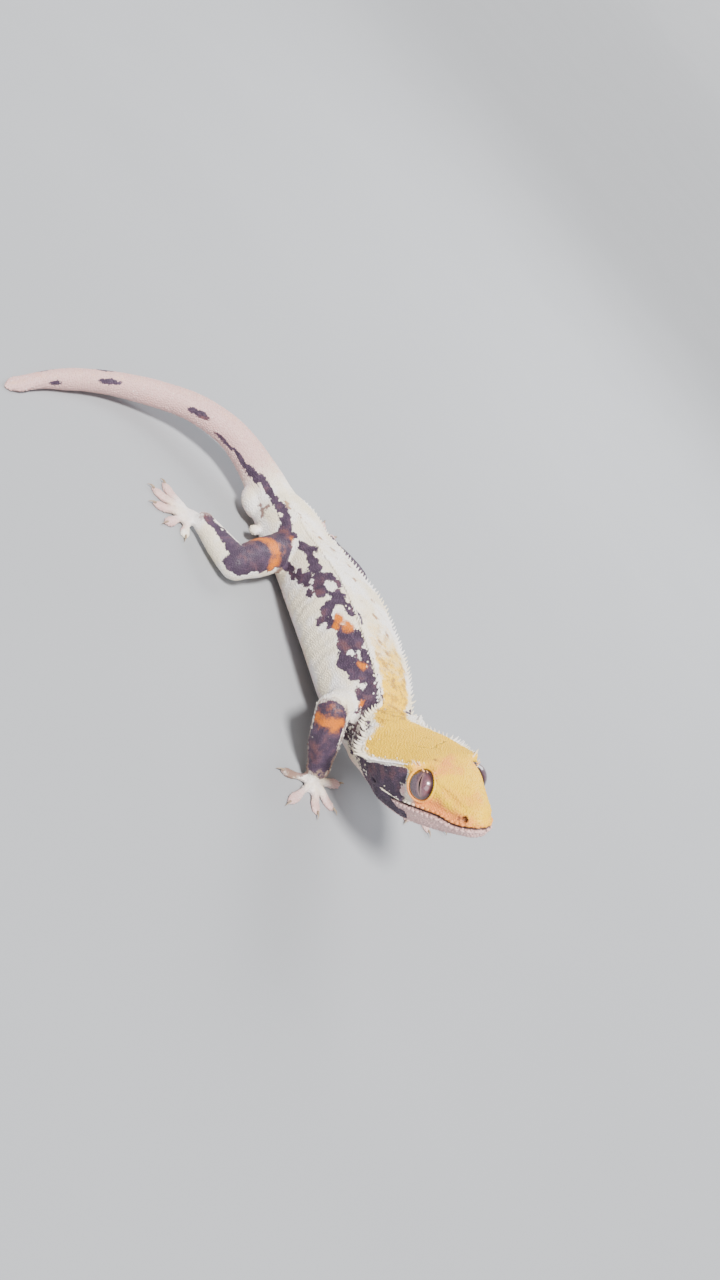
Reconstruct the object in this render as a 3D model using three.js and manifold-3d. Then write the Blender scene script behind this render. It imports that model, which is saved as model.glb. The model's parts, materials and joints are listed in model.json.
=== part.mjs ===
import * as THREE from 'three';
import { mergeVertices } from 'three/addons/utils/BufferGeometryUtils.js';
import Module from 'manifold-3d';

// Crested gecko at life size, lying on a flat surface with its head raised.
// Millimetres, +Z up, +X forward along the pelvis, +Y to the animal's left.
// The body is first built round the middle of the hips, then moved so that the
// bottom centre of its box is the origin.

// Driving dimensions
const gap = 0.3;
const tailLength = 102;
const trunkLength = 57;
const headLength = 27.5;
const eyeRadius = 3.45;
const humerusRadius = 3.5;
const forearmRadius = 3.7;
const wristRadius = 2.9;
const thighRadius = 4.8;
const kneeRadius = 4.1;
const shankRadius = 3.6;
const ankleRadius = 2.8;
const palmThickness = 2.6;
const toePadWidth = 2.9;
const clawLength = 1.5;
const backSpine = 1.1;
const neckSpine = 1.5;
const crestSpine = 2.1;
const browSpine = 0.9;
const lashSpine = 2.0;
const spineStep = 1.5;
const spineRoot = 0.42;
const spineSunk = 0.7;
const sectionSides = 24;
const limbSides = 12;
const ringStep = 3;

// Colours seen on the animal
const cream = '#e9dcc8';
const crownYellow = '#f2c46a';
const slate = '#6b5a66';
const sand = '#dcbfa6';
const pinkGrey = '#c9aaa4';
const irisGrey = '#857385';

const radians = THREE.MathUtils.degToRad;
const up = new THREE.Vector3(0, 0, 1);

// Smooth curve through measured pairs of place and value, with no overshoot
function profile(pairs) {
  const slopes = pairs.map((pair, i) => {
    if (i === 0 || i === pairs.length - 1) return 0;
    const before = (pair[1] - pairs[i - 1][1]) / (pair[0] - pairs[i - 1][0]);
    const after = (pairs[i + 1][1] - pair[1]) / (pairs[i + 1][0] - pair[0]);
    return before * after <= 0 ? 0 : (2 * before * after) / (before + after);
  });
  return (place) => {
    const last = pairs.length - 1;
    if (place <= pairs[0][0]) return pairs[0][1];
    if (place >= pairs[last][0]) return pairs[last][1];
    let i = 0;
    while (pairs[i + 1][0] < place) i += 1;
    const width = pairs[i + 1][0] - pairs[i][0];
    const t = (place - pairs[i][0]) / width;
    const t2 = t * t;
    const t3 = t2 * t;
    return (2 * t3 - 3 * t2 + 1) * pairs[i][1] + (t3 - 2 * t2 + t) * width * slopes[i]
      + (3 * t2 - 2 * t3) * pairs[i + 1][1] + (t3 - t2) * width * slopes[i + 1];
  };
}

// Body measured along its axis: place is millimetres forward of the hips
const heading = profile([[-100, 112], [-83, 103], [-64, 85], [-44, 57], [-34, 38], [-25, 22],
  [-15, 9], [-5, 4], [6, -3], [18, -8], [40, -16], [57, -21]]);
const halfWidth = profile([[-102, 0.5], [-101, 1.4], [-98, 2.2], [-94, 2.0], [-84, 2.5], [-62, 3.3],
  [-40, 4.0], [-22, 5.0], [-12, 6.3], [-4, 7.9], [4, 8.0], [14, 9.8], [30, 11.8], [44, 11.5],
  [54, 10.0], [60, 8.7]]);
const halfHeight = profile([[-102, 0.4], [-100, 0.9], [-97, 1.1], [-94, 1.5], [-84, 2.4], [-62, 3.2],
  [-40, 3.9], [-22, 4.9], [-12, 6.2], [-4, 7.5], [4, 7.8], [14, 8.9], [30, 10.0], [44, 9.9],
  [54, 9.0], [60, 8.2]]);
const clearance = profile([[-86, 0], [-76, 0.4], [-66, 1.4], [-56, 3.0], [-44, 5.4], [-34, 6.0],
  [-22, 4.4], [-10, 1.6], [2, 0.6], [14, 1.2], [30, 2.2], [44, 3.0], [57, 4.6]]);
const ridgeRise = profile([[-20, 0], [-10, 0.15], [0, 0.35], [57, 0.45]]);
const ridgeAngle = radians(60);

// Superellipse section with a raised ridge on each side of the back, from the belly up
function bodySection(place, grow) {
  const points = [];
  const wide = halfWidth(place) + grow;
  const high = halfHeight(place) + grow;
  const square = place > -12 ? 2.3 : 2.05;
  for (let k = 0; k < sectionSides; k += 1) {
    const angle = -Math.PI / 2 + (2 * Math.PI * k) / sectionSides;
    const c = Math.cos(angle);
    const s = Math.sin(angle);
    const y = wide * Math.sign(c) * Math.abs(c) ** (2 / square);
    const z = high * Math.sign(s) * Math.abs(s) ** (2 / square);
    const off = Math.abs(Math.atan2(s, Math.abs(c)) - ridgeAngle) / radians(9);
    const rise = ridgeRise(place) * Math.exp(-off * off);
    points.push([y + rise * c, z + rise * s]);
  }
  return points;
}

// Frames along the body axis, walked out from the hips both ways
function walkAxis(end) {
  const stride = end > 0 ? 0.25 : -0.25;
  const places = [{ place: 0, x: 0, y: 0 }];
  while (Math.abs(places.at(-1).place) < Math.abs(end)) {
    const from = places.at(-1);
    const turn = radians(heading(from.place + stride / 2));
    places.push({
      place: from.place + stride,
      x: from.x + stride * Math.cos(turn),
      y: from.y + stride * Math.sin(turn),
    });
  }
  return places;
}
const axis = [...walkAxis(-tailLength).reverse(), ...walkAxis(trunkLength).slice(1)];

// The section's frame at a place on the body axis
function axisPoint(place) {
  const i = THREE.MathUtils.clamp(Math.round((place + tailLength) / 0.25), 0, axis.length - 1);
  const z = clearance(place) + halfHeight(place);
  return new THREE.Vector3(axis[i].x, axis[i].y, z);
}
function bodyFrame(place) {
  const ahead = axisPoint(Math.min(place + 0.5, trunkLength));
  const behind = axisPoint(Math.max(place - 0.5, -tailLength));
  const forward = ahead.sub(behind).normalize();
  const left = new THREE.Vector3().crossVectors(up, forward).normalize();
  return { origin: axisPoint(place), forward, left, rise: new THREE.Vector3().crossVectors(forward, left) };
}
function placeSection(frame, points) {
  return points.map(([y, z]) => frame.origin.clone()
    .addScaledVector(frame.left, y).addScaledVector(frame.rise, z));
}

// Closed skin through rings of equal count, closed by a fan at each end
function loft(rings) {
  const positions = [];
  const count = rings[0].length;
  rings.flat().forEach((p) => positions.push(p.x, p.y, p.z));
  const triangles = [];
  for (let r = 0; r < rings.length - 1; r += 1) {
    for (let k = 0; k < count; k += 1) {
      const a = r * count + k;
      const b = r * count + ((k + 1) % count);
      triangles.push(a, b, b + count, a, b + count, a + count);
    }
  }
  [0, rings.length - 1].forEach((r) => {
    const middle = rings[r].reduce((sum, p) => sum.add(p), new THREE.Vector3()).divideScalar(count);
    const centre = positions.length / 3;
    positions.push(middle.x, middle.y, middle.z);
    for (let k = 0; k < count; k += 1) {
      const a = r * count + k;
      const b = r * count + ((k + 1) % count);
      triangles.push(...(r === 0 ? [b, a, centre] : [a, b, centre]));
    }
  });
  const geometry = new THREE.BufferGeometry();
  geometry.setAttribute('position', new THREE.Float32BufferAttribute(positions, 3));
  geometry.setIndex(triangles);
  return geometry;
}

// Solids for joining and cutting
const wasm = await Module();
wasm.setup();
function solid(geometry) {
  const bare = geometry.clone();
  bare.deleteAttribute('normal');
  bare.deleteAttribute('uv');
  const merged = mergeVertices(bare, 1e-4);
  const body = new wasm.Manifold(new wasm.Mesh({
    numProp: 3,
    vertProperties: new Float32Array(merged.attributes.position.array),
    triVerts: new Uint32Array(merged.index.array),
  }));
  if (body.volume() > 0) return body;
  const turned = new Uint32Array(merged.index.array);
  for (let i = 0; i < turned.length; i += 3) [turned[i], turned[i + 1]] = [turned[i + 1], turned[i]];
  return new wasm.Manifold(new wasm.Mesh({
    numProp: 3,
    vertProperties: new Float32Array(merged.attributes.position.array),
    triVerts: turned,
  }));
}
// Largest closed surface of a joined body, without the slivers that cuts leave
const finest = 0.014;
function largest(body) {
  return body.simplify(finest).decompose()
    .reduce((best, piece) => (piece.volume() > best.volume() ? piece : best));
}
function geometryOf(body) {
  const mesh = body.getMesh();
  const geometry = new THREE.BufferGeometry();
  geometry.setAttribute('position', new THREE.Float32BufferAttribute(mesh.vertProperties, 3));
  geometry.setIndex(new THREE.Uint32BufferAttribute(mesh.triVerts, 1));
  geometry.computeVertexNormals();
  return geometry;
}

// A length of the body between two places on its axis
function bodyLength(from, to, grow = 0) {
  const steps = Math.max(2, Math.ceil((to - from) / ringStep));
  const rings = [];
  for (let i = 0; i <= steps; i += 1) {
    const place = from + ((to - from) * i) / steps;
    rings.push(placeSection(bodyFrame(place), bodySection(place, grow)));
  }
  return solid(loft(rings));
}

// Seeded draw between 0 and 1, so that the spines vary but are the same each time
let seed = 20731;
function draw() {
  seed = (seed * 48271) % 2147483647;
  return seed / 2147483647;
}

// One tapered spine whose root is sunk in the skin at a point
function spine(point, direction, length) {
  const long = length * (0.82 + 0.3 * draw());
  const cone = new THREE.ConeGeometry(spineRoot * (0.75 + 0.25 * Math.min(length, 2) / 2), long + spineSunk, 4, 1);
  const lean = new THREE.Vector3(draw() - 0.5, draw() - 0.5, draw() - 0.5).multiplyScalar(0.22);
  const along = direction.clone().normalize().add(lean).normalize();
  cone.rotateY(Math.PI * draw());
  cone.translate(0, (long - spineSunk) / 2, 0);
  cone.applyQuaternion(new THREE.Quaternion().setFromUnitVectors(new THREE.Vector3(0, 1, 0), along));
  cone.translate(point.x, point.y, point.z);
  return solid(cone);
}

// Head: its own frame, x forward from the line of the rear crest corners
const headOrigin = new THREE.Vector3(73.8, -23.1, 24.2);
const headYaw = radians(-21.2);
const headPitch = radians(-35.2);
const headRoll = radians(27.5);
const headTurn = new THREE.Euler(headRoll, headPitch, headYaw, 'ZYX');
const headRear = -7;
const headPlace = (x, y, z) => new THREE.Vector3(x, y, z).applyEuler(headTurn).add(headOrigin);

const crownHeight = profile([[-7, 7.2], [-3, 6.7], [4, 6.7], [12, 7.0], [16, 6.0], [20, 4.2],
  [24, 2.3], [26.3, 0.9], [27.5, -1.2]]);
const crestWidth = profile([[-7, 7.4], [-4.5, 9.2], [-1.5, 11.3], [1, 11.5], [5, 10.5], [10, 9.0],
  [13.5, 8.1], [17, 5.7], [21, 3.9], [24.5, 2.6], [26.4, 1.8], [27.2, 1.0], [27.5, 0.4]]);
const crestHeight = profile([[-7, 5.2], [-2, 3.5], [1, 3.4], [6, 4.3], [10, 5.2], [13.5, 6.0],
  [17, 4.3], [21, 2.3], [25, 0.2], [27.5, -1.7]]);
const cheekWidth = profile([[-7, 8.0], [-2, 9.0], [3, 9.4], [9, 8.9], [14, 7.6], [18, 6.1],
  [22, 4.7], [25, 3.4], [26.6, 2.2], [27.3, 1.2], [27.5, 0.5]]);
const lipWidth = profile([[-7, 7.2], [0, 8.6], [5, 8.9], [10, 8.5], [15, 7.4], [20, 5.7],
  [24, 4.1], [26, 2.9], [27.1, 1.6], [27.5, 0.6]]);
const lipHeight = profile([[-7, -3.0], [4, -3.0], [9, -3.6], [20, -3.5], [27.5, -2.9]]);
const jawHeight = profile([[-7, -7.0], [0, -8.3], [8, -8.4], [16, -7.5], [22, -6.4], [26, -5.4],
  [27.5, -3.9]]);

// Half outline of the head at x, from the throat up to the middle of the crown
const crestCorner = 9;
function headSection(x, grow) {
  const chin = jawHeight(x);
  const lip = lipWidth(x);
  const lipZ = lipHeight(x);
  const cheek = cheekWidth(x);
  const crest = crestWidth(x);
  const crestZ = crestHeight(x);
  const top = crownHeight(x);
  const span = crestZ - lipZ;
  const overhang = THREE.MathUtils.clamp(crest - cheek, 0, 2);
  const half = [
    [0, chin], [lip * 0.45, chin + 0.1], [lip * 0.78, chin + 0.9],
    [lip * 0.95, lipZ - Math.min(1.1, (lipZ - chin) * 0.45)], [lip, lipZ + 0.2],
    [cheek, lipZ + span * 0.25], [cheek, lipZ + span * 0.5],
    [cheek + overhang * 0.25, crestZ - Math.min(1.4, span * 0.25)],
    [crest - 0.1, crestZ - Math.min(0.5, span * 0.1)], [crest, crestZ + 0.2], [crest * 0.82, crestZ + (top - crestZ) * 0.45],
    [crest * 0.42, crestZ + (top - crestZ) * 0.9],
  ];
  const outline = half.map(([y, z]) => [y, z]);
  outline.push([0, top]);
  half.slice(1).reverse().forEach(([y, z]) => outline.push([-y, z]));
  const middleZ = (chin + top) / 2;
  return outline.map(([y, z]) => {
    const reach = Math.hypot(y, z - middleZ) || 1;
    return [y + (grow * y) / reach, z + (grow * (z - middleZ)) / reach];
  });
}
function headRing(x, grow = 0) {
  return headSection(x, grow).map(([y, z]) => headPlace(x, y, z));
}

const headStations = [-7, -5.5, -4, -2.5, -1, 0.5, 2.5, 5, 7.5, 10, 12, 14, 16, 18, 20.5, 23, 25,
  26.3, 27.1, 27.4, 27.5];
let headBody = solid(loft(headStations.map((x) => headRing(x))));

// Mouth: a thin groove round the snout between the lips, along the lip line
const mouthCorner = 4.5;
const mouthGroove = 0.42;
const mouthDepth = 0.7;
function mouthSheet() {
  const rings = [];
  for (let x = mouthCorner; x <= headLength + 2; x += 2) {
    const opening = Math.min(1, (x - mouthCorner) / 6 + 0.25) * mouthGroove / 2;
    rings.push([[-14, -opening], [14, -opening], [14, opening], [-14, opening]]
      .map(([y, z]) => headPlace(x, y, lipHeight(x) + z)));
  }
  return solid(loft(rings));
}
function mouthCore() {
  const outline = new THREE.Shape();
  const inset = (x) => Math.max(0.05, lipWidth(x) - mouthDepth);
  outline.moveTo(mouthCorner - 2, -inset(mouthCorner - 2));
  const tip = headLength - mouthDepth;
  for (let x = mouthCorner; x < tip; x += 1.5) outline.lineTo(x, -inset(x + mouthDepth * 0.4));
  outline.lineTo(tip, 0);
  for (let x = tip - 1; x > mouthCorner; x -= 1.5) outline.lineTo(x, inset(x + mouthDepth * 0.4));
  outline.lineTo(mouthCorner - 2, inset(mouthCorner - 2));
  const prism = new THREE.ExtrudeGeometry(outline, { depth: 30, bevelEnabled: false });
  prism.translate(0, 0, -15);
  const turn = new THREE.Matrix4().makeRotationFromEuler(headTurn).setPosition(headOrigin);
  return solid(prism.applyMatrix4(turn));
}
headBody = headBody.subtract(mouthSheet().subtract(mouthCore()));

// Spines of the head: small over the eye, longest at the rear corner, then in to the neck
function headSpines(side) {
  const size = profile([[-7, neckSpine], [-3, crestSpine * 0.9], [0, crestSpine], [3, crestSpine * 0.8],
    [8, browSpine], [15, browSpine * 0.8]]);
  const out = profile([[-7, 0.55], [-2.5, 0.6], [0, 0.95], [4, 1]]);
  const spines = [];
  let last = null;
  for (let x = 11.4; x > -6.2; x -= 0.1) {
    const place = headPlace(x, side * crestWidth(x), crestHeight(x));
    const spacing = spineStep * (size(x) > 1.2 ? 0.92 : 0.8);
    if (last === null || place.distanceTo(last) > spacing) {
      const outward = new THREE.Vector3(out(x) - 1.15, side * out(x), 0.22).applyEuler(headTurn);
      spines.push(spine(place, outward, size(x)));
      last = place;
    }
  }
  [12.6, 13.7, 14.8, 15.8].forEach((x, i) => {
    const root = headPlace(x, side * (crestWidth(x) - 0.2), crestHeight(x));
    const outward = new THREE.Vector3(0.12 * (i - 1), side, 0.55).applyEuler(headTurn);
    spines.push(spine(root, outward, lashSpine * (i === 0 || i === 3 ? 0.6 : 0.9)));
  });
  return spines.reduce((all, one) => all.add(one));
}

// Ball or egg in the head's frame, its first axis along a direction
function headEgg(centre, direction, sizes, wide = 16, high = 10) {
  const egg = new THREE.SphereGeometry(1, wide, high);
  const along = new THREE.Vector3(...direction).normalize();
  const turn = new THREE.Quaternion().setFromUnitVectors(new THREE.Vector3(1, 0, 0), along);
  egg.scale(...sizes);
  egg.applyQuaternion(turn);
  egg.translate(...centre);
  const world = new THREE.Matrix4().makeRotationFromEuler(headTurn).setPosition(headOrigin);
  return egg.applyMatrix4(world);
}

// Eyes in their sockets, each with a low rim of lid round it
const eyeForward = 14;
const eyeOut = 5.7;
const eyeUp = 1.8;
const lidRadius = 3.35;
const lidThickness = 0.55;
const lidOut = 1.85;
function eyeCentre(side) {
  return [eyeForward, side * eyeOut, eyeUp];
}
function lidRing(side) {
  const ring = new THREE.TorusGeometry(lidRadius, lidThickness, 6, 18);
  const outward = new THREE.Vector3(0.24, side, 0.12).normalize();
  ring.applyQuaternion(new THREE.Quaternion().setFromUnitVectors(up, outward));
  ring.translate(...new THREE.Vector3(...eyeCentre(side)).addScaledVector(outward, lidOut));
  const world = new THREE.Matrix4().makeRotationFromEuler(headTurn).setPosition(headOrigin);
  return solid(ring.applyMatrix4(world));
}
const eyeSolid = (side, grow) => solid(
  headEgg(eyeCentre(side), [0, 0, 1], [eyeRadius + grow, eyeRadius + grow, eyeRadius + grow], 18, 11),
);
[-1, 1].forEach((side) => {
  headBody = headBody.add(lidRing(side)).add(headSpines(side)).subtract(eyeSolid(side, gap));
  const nostril = headEgg([24.4, side * 3.4, -1.2], [0.5, side, 0.4], [0.8, 0.55, 0.5], 8, 6);
  headBody = headBody.subtract(solid(nostril));
  const ear = headEgg([0.8, side * 9.4, -2.2], [0.2, side, 0], [1.3, 0.8, 1.5], 10, 8);
  headBody = headBody.subtract(solid(ear));
});

// The head's rear outline, spread so that its crest meets the ridge of the back
const ridgeCorner = 10;
function neckEnd(grow) {
  const outline = headSection(headRear, grow);
  const top = sectionSides / 2;
  const side = (k) => {
    const at = k <= ridgeCorner ? (k / ridgeCorner) * crestCorner
      : crestCorner + ((k - ridgeCorner) / (top - ridgeCorner)) * (top - crestCorner);
    const low = Math.min(Math.floor(at), top - 1);
    return [0, 1].map((i) => THREE.MathUtils.lerp(outline[low][i], outline[low + 1][i], at - low));
  };
  return Array.from({ length: sectionSides }, (_, k) => {
    if (k <= top) return side(k);
    const [y, z] = side(sectionSides - k);
    return [-y, z];
  });
}

// Neck: from the shoulders' section to the head's rear section, arched up and to the left
const napeLift = new THREE.Vector3(0, 1.8, 1.5);
const headForward = new THREE.Vector3(1, 0, 0).applyEuler(headTurn);
const headLeft = new THREE.Vector3(0, 1, 0).applyEuler(headTurn);
const neckStart = bodyFrame(trunkLength);
const neckTarget = headPlace(headRear - gap, 0, 0);
const neckReach = neckStart.origin.distanceTo(neckTarget);
const neckCurve = new THREE.CubicBezierCurve3(
  neckStart.origin,
  neckStart.origin.clone().addScaledVector(neckStart.forward, neckReach / 3).add(napeLift),
  neckTarget.clone().addScaledVector(headForward, -neckReach / 3).add(napeLift),
  neckTarget,
);
function neckRing(t, grow) {
  const blend = t * t * (3 - 2 * t);
  const forward = neckStart.forward.clone().lerp(headForward, blend).normalize();
  const left = neckStart.left.clone().lerp(headLeft, blend);
  left.addScaledVector(forward, -left.dot(forward)).normalize();
  const rise = new THREE.Vector3().crossVectors(forward, left);
  const frame = { origin: neckCurve.getPoint(t), forward, left, rise };
  const trunk = bodySection(trunkLength, grow);
  const head = neckEnd(grow);
  const ring = placeSection(frame, trunk.map(([y, z], k) => [
    THREE.MathUtils.lerp(y, head[k][0], blend), THREE.MathUtils.lerp(z, head[k][1], blend),
  ]));
  return { frame, ring };
}
function neckLength(grow) {
  const steps = 6;
  return solid(loft(Array.from({ length: steps + 1 }, (_, i) => neckRing(i / steps, grow).ring)));
}

// A row of spines down each ridge, from rings taken at even steps
function spineRows(count, ringAt, sizeAt) {
  const spines = [];
  for (let i = 0; i < count; i += 1) {
    const { frame, ring } = ringAt(i);
    [ridgeCorner, sectionSides - ridgeCorner].forEach((k) => {
      const outward = ring[k].clone().sub(frame.origin).normalize().addScaledVector(frame.forward, -0.3);
      spines.push(spine(ring[k], outward, sizeAt(i)));
    });
  }
  return spines.reduce((all, one) => all.add(one));
}
function backSpines(from, to) {
  const count = Math.floor((to - from) / spineStep);
  const margin = (to - from - (count - 1) * spineStep) / 2;
  const placeAt = (i) => from + margin + i * spineStep;
  const size = profile([[-8, 0.55], [6, 0.85], [40, 1], [57, 1.15]]);
  return spineRows(
    count,
    (i) => ({ frame: bodyFrame(placeAt(i)), ring: placeSection(bodyFrame(placeAt(i)), bodySection(placeAt(i), 0)) }),
    (i) => backSpine * size(placeAt(i)),
  );
}

// Limb length: rings along a curve through its joints, rounded at both ends
function limb(joints, radii, grow = 0, flatten = 1) {
  const curve = new THREE.CatmullRomCurve3(joints.map((p) => new THREE.Vector3(...p)));
  const length = curve.getLength();
  const steps = Math.max(5, Math.ceil(length / 2.4));
  const radiusAt = profile(radii.map((r, i) => [i / (radii.length - 1), r]));
  const rings = [];
  const ends = [0.15, 0.6, 0.9];
  const stations = [];
  ends.forEach((e) => stations.push([0, e]));
  for (let i = 1; i < steps; i += 1) stations.push([i / steps, 1]);
  ends.toReversed().forEach((e) => stations.push([1, e]));
  stations.forEach(([t, shrink]) => {
    const forward = curve.getTangentAt(t);
    const side = new THREE.Vector3().crossVectors(up, forward).normalize();
    const rise = new THREE.Vector3().crossVectors(forward, side);
    const radius = radiusAt(t) + grow;
    const push = Math.sqrt(1 - shrink * shrink) * radius * (t < 0.5 ? -1 : 1);
    const origin = curve.getPointAt(t).addScaledVector(forward, push);
    const ring = [];
    for (let k = 0; k < limbSides; k += 1) {
      const angle = (2 * Math.PI * k) / limbSides;
      ring.push(origin.clone().addScaledVector(side, Math.cos(angle) * radius * shrink)
        .addScaledVector(rise, Math.sin(angle) * radius * shrink * flatten));
    }
    rings.push(ring);
  });
  return solid(loft(rings));
}

// Nothing of the animal reaches below the surface it lies on
const ground = solid(new THREE.BoxGeometry(400, 400, 40).translate(0, 0, -20));

// Toe: narrow at its root, a broad flat pad, then the last joint with its claw
const toeSides = 8;
function toe(root, angle, length, size) {
  const along = new THREE.Vector3(Math.cos(angle), Math.sin(angle), 0);
  const across = new THREE.Vector3(-along.y, along.x, 0);
  const widths = profile([[0, 1.2], [0.35, 1.05], [0.62, toePadWidth / 2], [0.82, toePadWidth / 2.2], [1, 0.4]]);
  const heights = profile([[0, 1.2], [0.35, 1.0], [0.62, 0.8], [0.82, 0.8], [1, 0.4]]);
  const lifts = profile([[0, 1.3], [0.35, 1.0], [0.62, 0.55], [1, 0.45]]);
  const rings = [0, 0.36, 0.56, 0.72, 0.88, 1].map((t) => {
    const origin = new THREE.Vector3(...root).addScaledVector(along, length * t);
    origin.z = lifts(t) * size;
    return Array.from({ length: toeSides }, (_, k) => {
      const turn = (2 * Math.PI * (k + 0.5)) / toeSides;
      return origin.clone().addScaledVector(across, Math.cos(turn) * widths(t) * size)
        .addScaledVector(up, Math.sin(turn) * heights(t) * size);
    });
  });
  const claw = new THREE.ConeGeometry(0.36, clawLength + 0.9, 5);
  claw.rotateZ(-Math.PI / 2);
  claw.rotateY(radians(12));
  claw.translate(length + clawLength / 2 - 0.3, 0, 0.75 * size);
  claw.rotateZ(angle);
  claw.translate(root[0], root[1], 0);
  return solid(loft(rings)).add(solid(claw));
}

// Hand or foot: a flattened palm and five toes, all with small flats on the surface
function paw(wrist, centre, palmRadius, toes, size) {
  let body = limb([wrist, centre], [palmRadius * 0.72, palmRadius], 0, palmThickness / (2 * palmRadius));
  toes.forEach(([degrees, length]) => {
    const angle = radians(degrees);
    const root = [centre[0] + Math.cos(angle) * palmRadius * 0.5, centre[1] + Math.sin(angle) * palmRadius * 0.5];
    body = body.add(toe([root[0], root[1], 0], angle, length - palmRadius * 0.5, size));
  });
  return body.subtract(ground);
}

const armPlaces = {
  right: {
    shoulder: [51.0, -16.0, 11.5], elbow: [55.5, -28.4, 16.0], wrist: [63.2, -26.0, 4.4],
    palm: [65.0, -25.2, 1.2], toes: [[-112, 9.2], [-66, 11.8], [-20, 8.4], [26, 8.0], [88, 10.4]],
  },
  left: {
    shoulder: [54.0, -4.0, 11.0], elbow: [56.2, 8.6, 10.0], wrist: [67.0, 11.6, 4.4],
    palm: [69.6, 12.0, 1.2], toes: [[-54, 10.4], [-8, 9.8], [30, 11.0], [68, 11.2], [120, 9.4]],
  },
};
const legPlaces = {
  right: {
    hip: [2.5, -5.0, 7.6], knee: [8.0, -23.8, 5.2], ankle: [-5.2, -26.6, 3.6],
    palm: [-8.6, -28.4, 1.4], toes: [[-166, 10.8], [-136, 11.0], [-106, 10.0], [-70, 8.8], [-28, 7.6]],
  },
  left: {
    hip: [2.5, 5.0, 7.6], knee: [7.0, 22.0, 6.0], ankle: [-7.2, 21.8, 3.6],
    palm: [-10.8, 23.6, 1.4], toes: [[166, 10.8], [134, 11.0], [104, 10.0], [68, 8.8], [26, 7.6]],
  },
};

const nodes = [];
function keep(name, body, colour, roughness) {
  nodes.push({ name, body: largest(body), colour, roughness });
}

// Male bulges under the root of the tail and a spur beside each side of the vent
function bodyEgg(place, side, out, low, sizes) {
  const frame = bodyFrame(place);
  const egg = new THREE.SphereGeometry(1, 10, 7).scale(...sizes);
  const turn = new THREE.Matrix4().makeBasis(frame.forward, frame.left, frame.rise);
  const centre = frame.origin.addScaledVector(frame.left, side * out).addScaledVector(frame.rise, -low);
  return solid(egg.applyMatrix4(turn.setPosition(centre)));
}

const vent = -9;
const waist = 13;
const neckBase = trunkLength - gap / 2;
const half = gap / 2;
let pelvis = bodyLength(vent + half, waist - half);
[-1, 1].forEach((side) => {
  pelvis = pelvis.add(bodyEgg(vent + 2.2, side, 7.9, 4.2, [1.5, 1.8, 1.3]));
});
pelvis = pelvis.subtract(ground).add(backSpines(vent + 4, waist - half));
const torso = bodyLength(waist + half, neckBase - half).add(backSpines(waist + half, neckBase - half));
const neckCount = Math.floor(neckReach / spineStep);
const neck = neckLength(0).add(spineRows(
  neckCount,
  (i) => neckRing((i + 0.5) / neckCount, 0),
  (i) => THREE.MathUtils.lerp(backSpine * 1.15, neckSpine, (i + 0.5) / neckCount),
));
keep('head', headBody, crownYellow, 0.6);
keep('neck', neck, crownYellow, 0.6);
keep('torso', torso, cream, 0.65);
keep('pelvis', pelvis, cream, 0.65);
const tailCuts = [vent, -36, -68, -tailLength];
['tail_base', 'tail_middle', 'tail_tip'].forEach((name, i) => {
  const end = name === 'tail_tip' ? tailCuts[i + 1] : tailCuts[i + 1] + half;
  let length = bodyLength(end, tailCuts[i] - half);
  if (name === 'tail_base') {
    [-1, 1].forEach((side) => {
      length = length.add(bodyEgg(vent - 5.4, side, 3.6, 2.6, [4.9, 3.6, 3.4]));
    });
  }
  keep(name, length.subtract(ground), sand, 0.6);
});

const trunkGrown = bodyLength(vent - 6, trunkLength, gap).add(neckLength(gap));
['right', 'left'].forEach((side) => {
  const arm = armPlaces[side];
  const upper = (grow) => limb([arm.shoulder, arm.elbow], [humerusRadius + 0.9, humerusRadius], grow);
  const fore = (grow) => limb([arm.elbow, arm.wrist], [humerusRadius + 0.4, forearmRadius, wristRadius], grow);
  keep(`upper_arm_${side}`, upper(0).subtract(trunkGrown), slate, 0.65);
  keep(`forearm_${side}`, fore(0).subtract(upper(gap)).subtract(trunkGrown), slate, 0.65);
  const hand = paw(arm.wrist, arm.palm, 3.3, arm.toes, 0.95);
  keep(`hand_${side}`, hand.subtract(fore(gap)), pinkGrey, 0.6);
  const leg = legPlaces[side];
  const thigh = (grow) => limb([leg.hip, leg.knee], [thighRadius, thighRadius, kneeRadius], grow);
  const shank = (grow) => limb([leg.knee, leg.ankle], [kneeRadius, shankRadius, ankleRadius], grow);
  keep(`thigh_${side}`, thigh(0).subtract(trunkGrown), slate, 0.65);
  keep(`shank_${side}`, shank(0).subtract(thigh(gap)).subtract(trunkGrown), slate, 0.65);
  const foot = paw(leg.ankle, leg.palm, 3.5, leg.toes, 1.0);
  keep(`foot_${side}`, foot.subtract(shank(gap)), pinkGrey, 0.6);
});
['right', 'left'].forEach((name, i) => {
  keep(`eye_${name}`, eyeSolid(i === 0 ? -1 : 1, 0), irisGrey, 0.15);
});

// The finished animal, with the bottom centre of its box at the origin
const gecko = new THREE.Group();
nodes.forEach(({ name, body, colour, roughness }) => {
  const material = new THREE.MeshStandardMaterial({ color: colour, roughness, metalness: 0 });
  const mesh = new THREE.Mesh(geometryOf(body), material);
  mesh.name = name;
  gecko.add(mesh);
});
const box = new THREE.Box3().setFromObject(gecko);
gecko.position.set(-(box.min.x + box.max.x) / 2, -(box.min.y + box.max.y) / 2, -box.min.z);

export default gecko;
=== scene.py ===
import json
import math

import bmesh
import bpy
import numpy as np
from bpy.props import FloatProperty, FloatVectorProperty, IntProperty, PointerProperty
from mathutils import Matrix, Vector, noise
from mathutils.bvhtree import BVHTree
from mathutils.kdtree import KDTree

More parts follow.
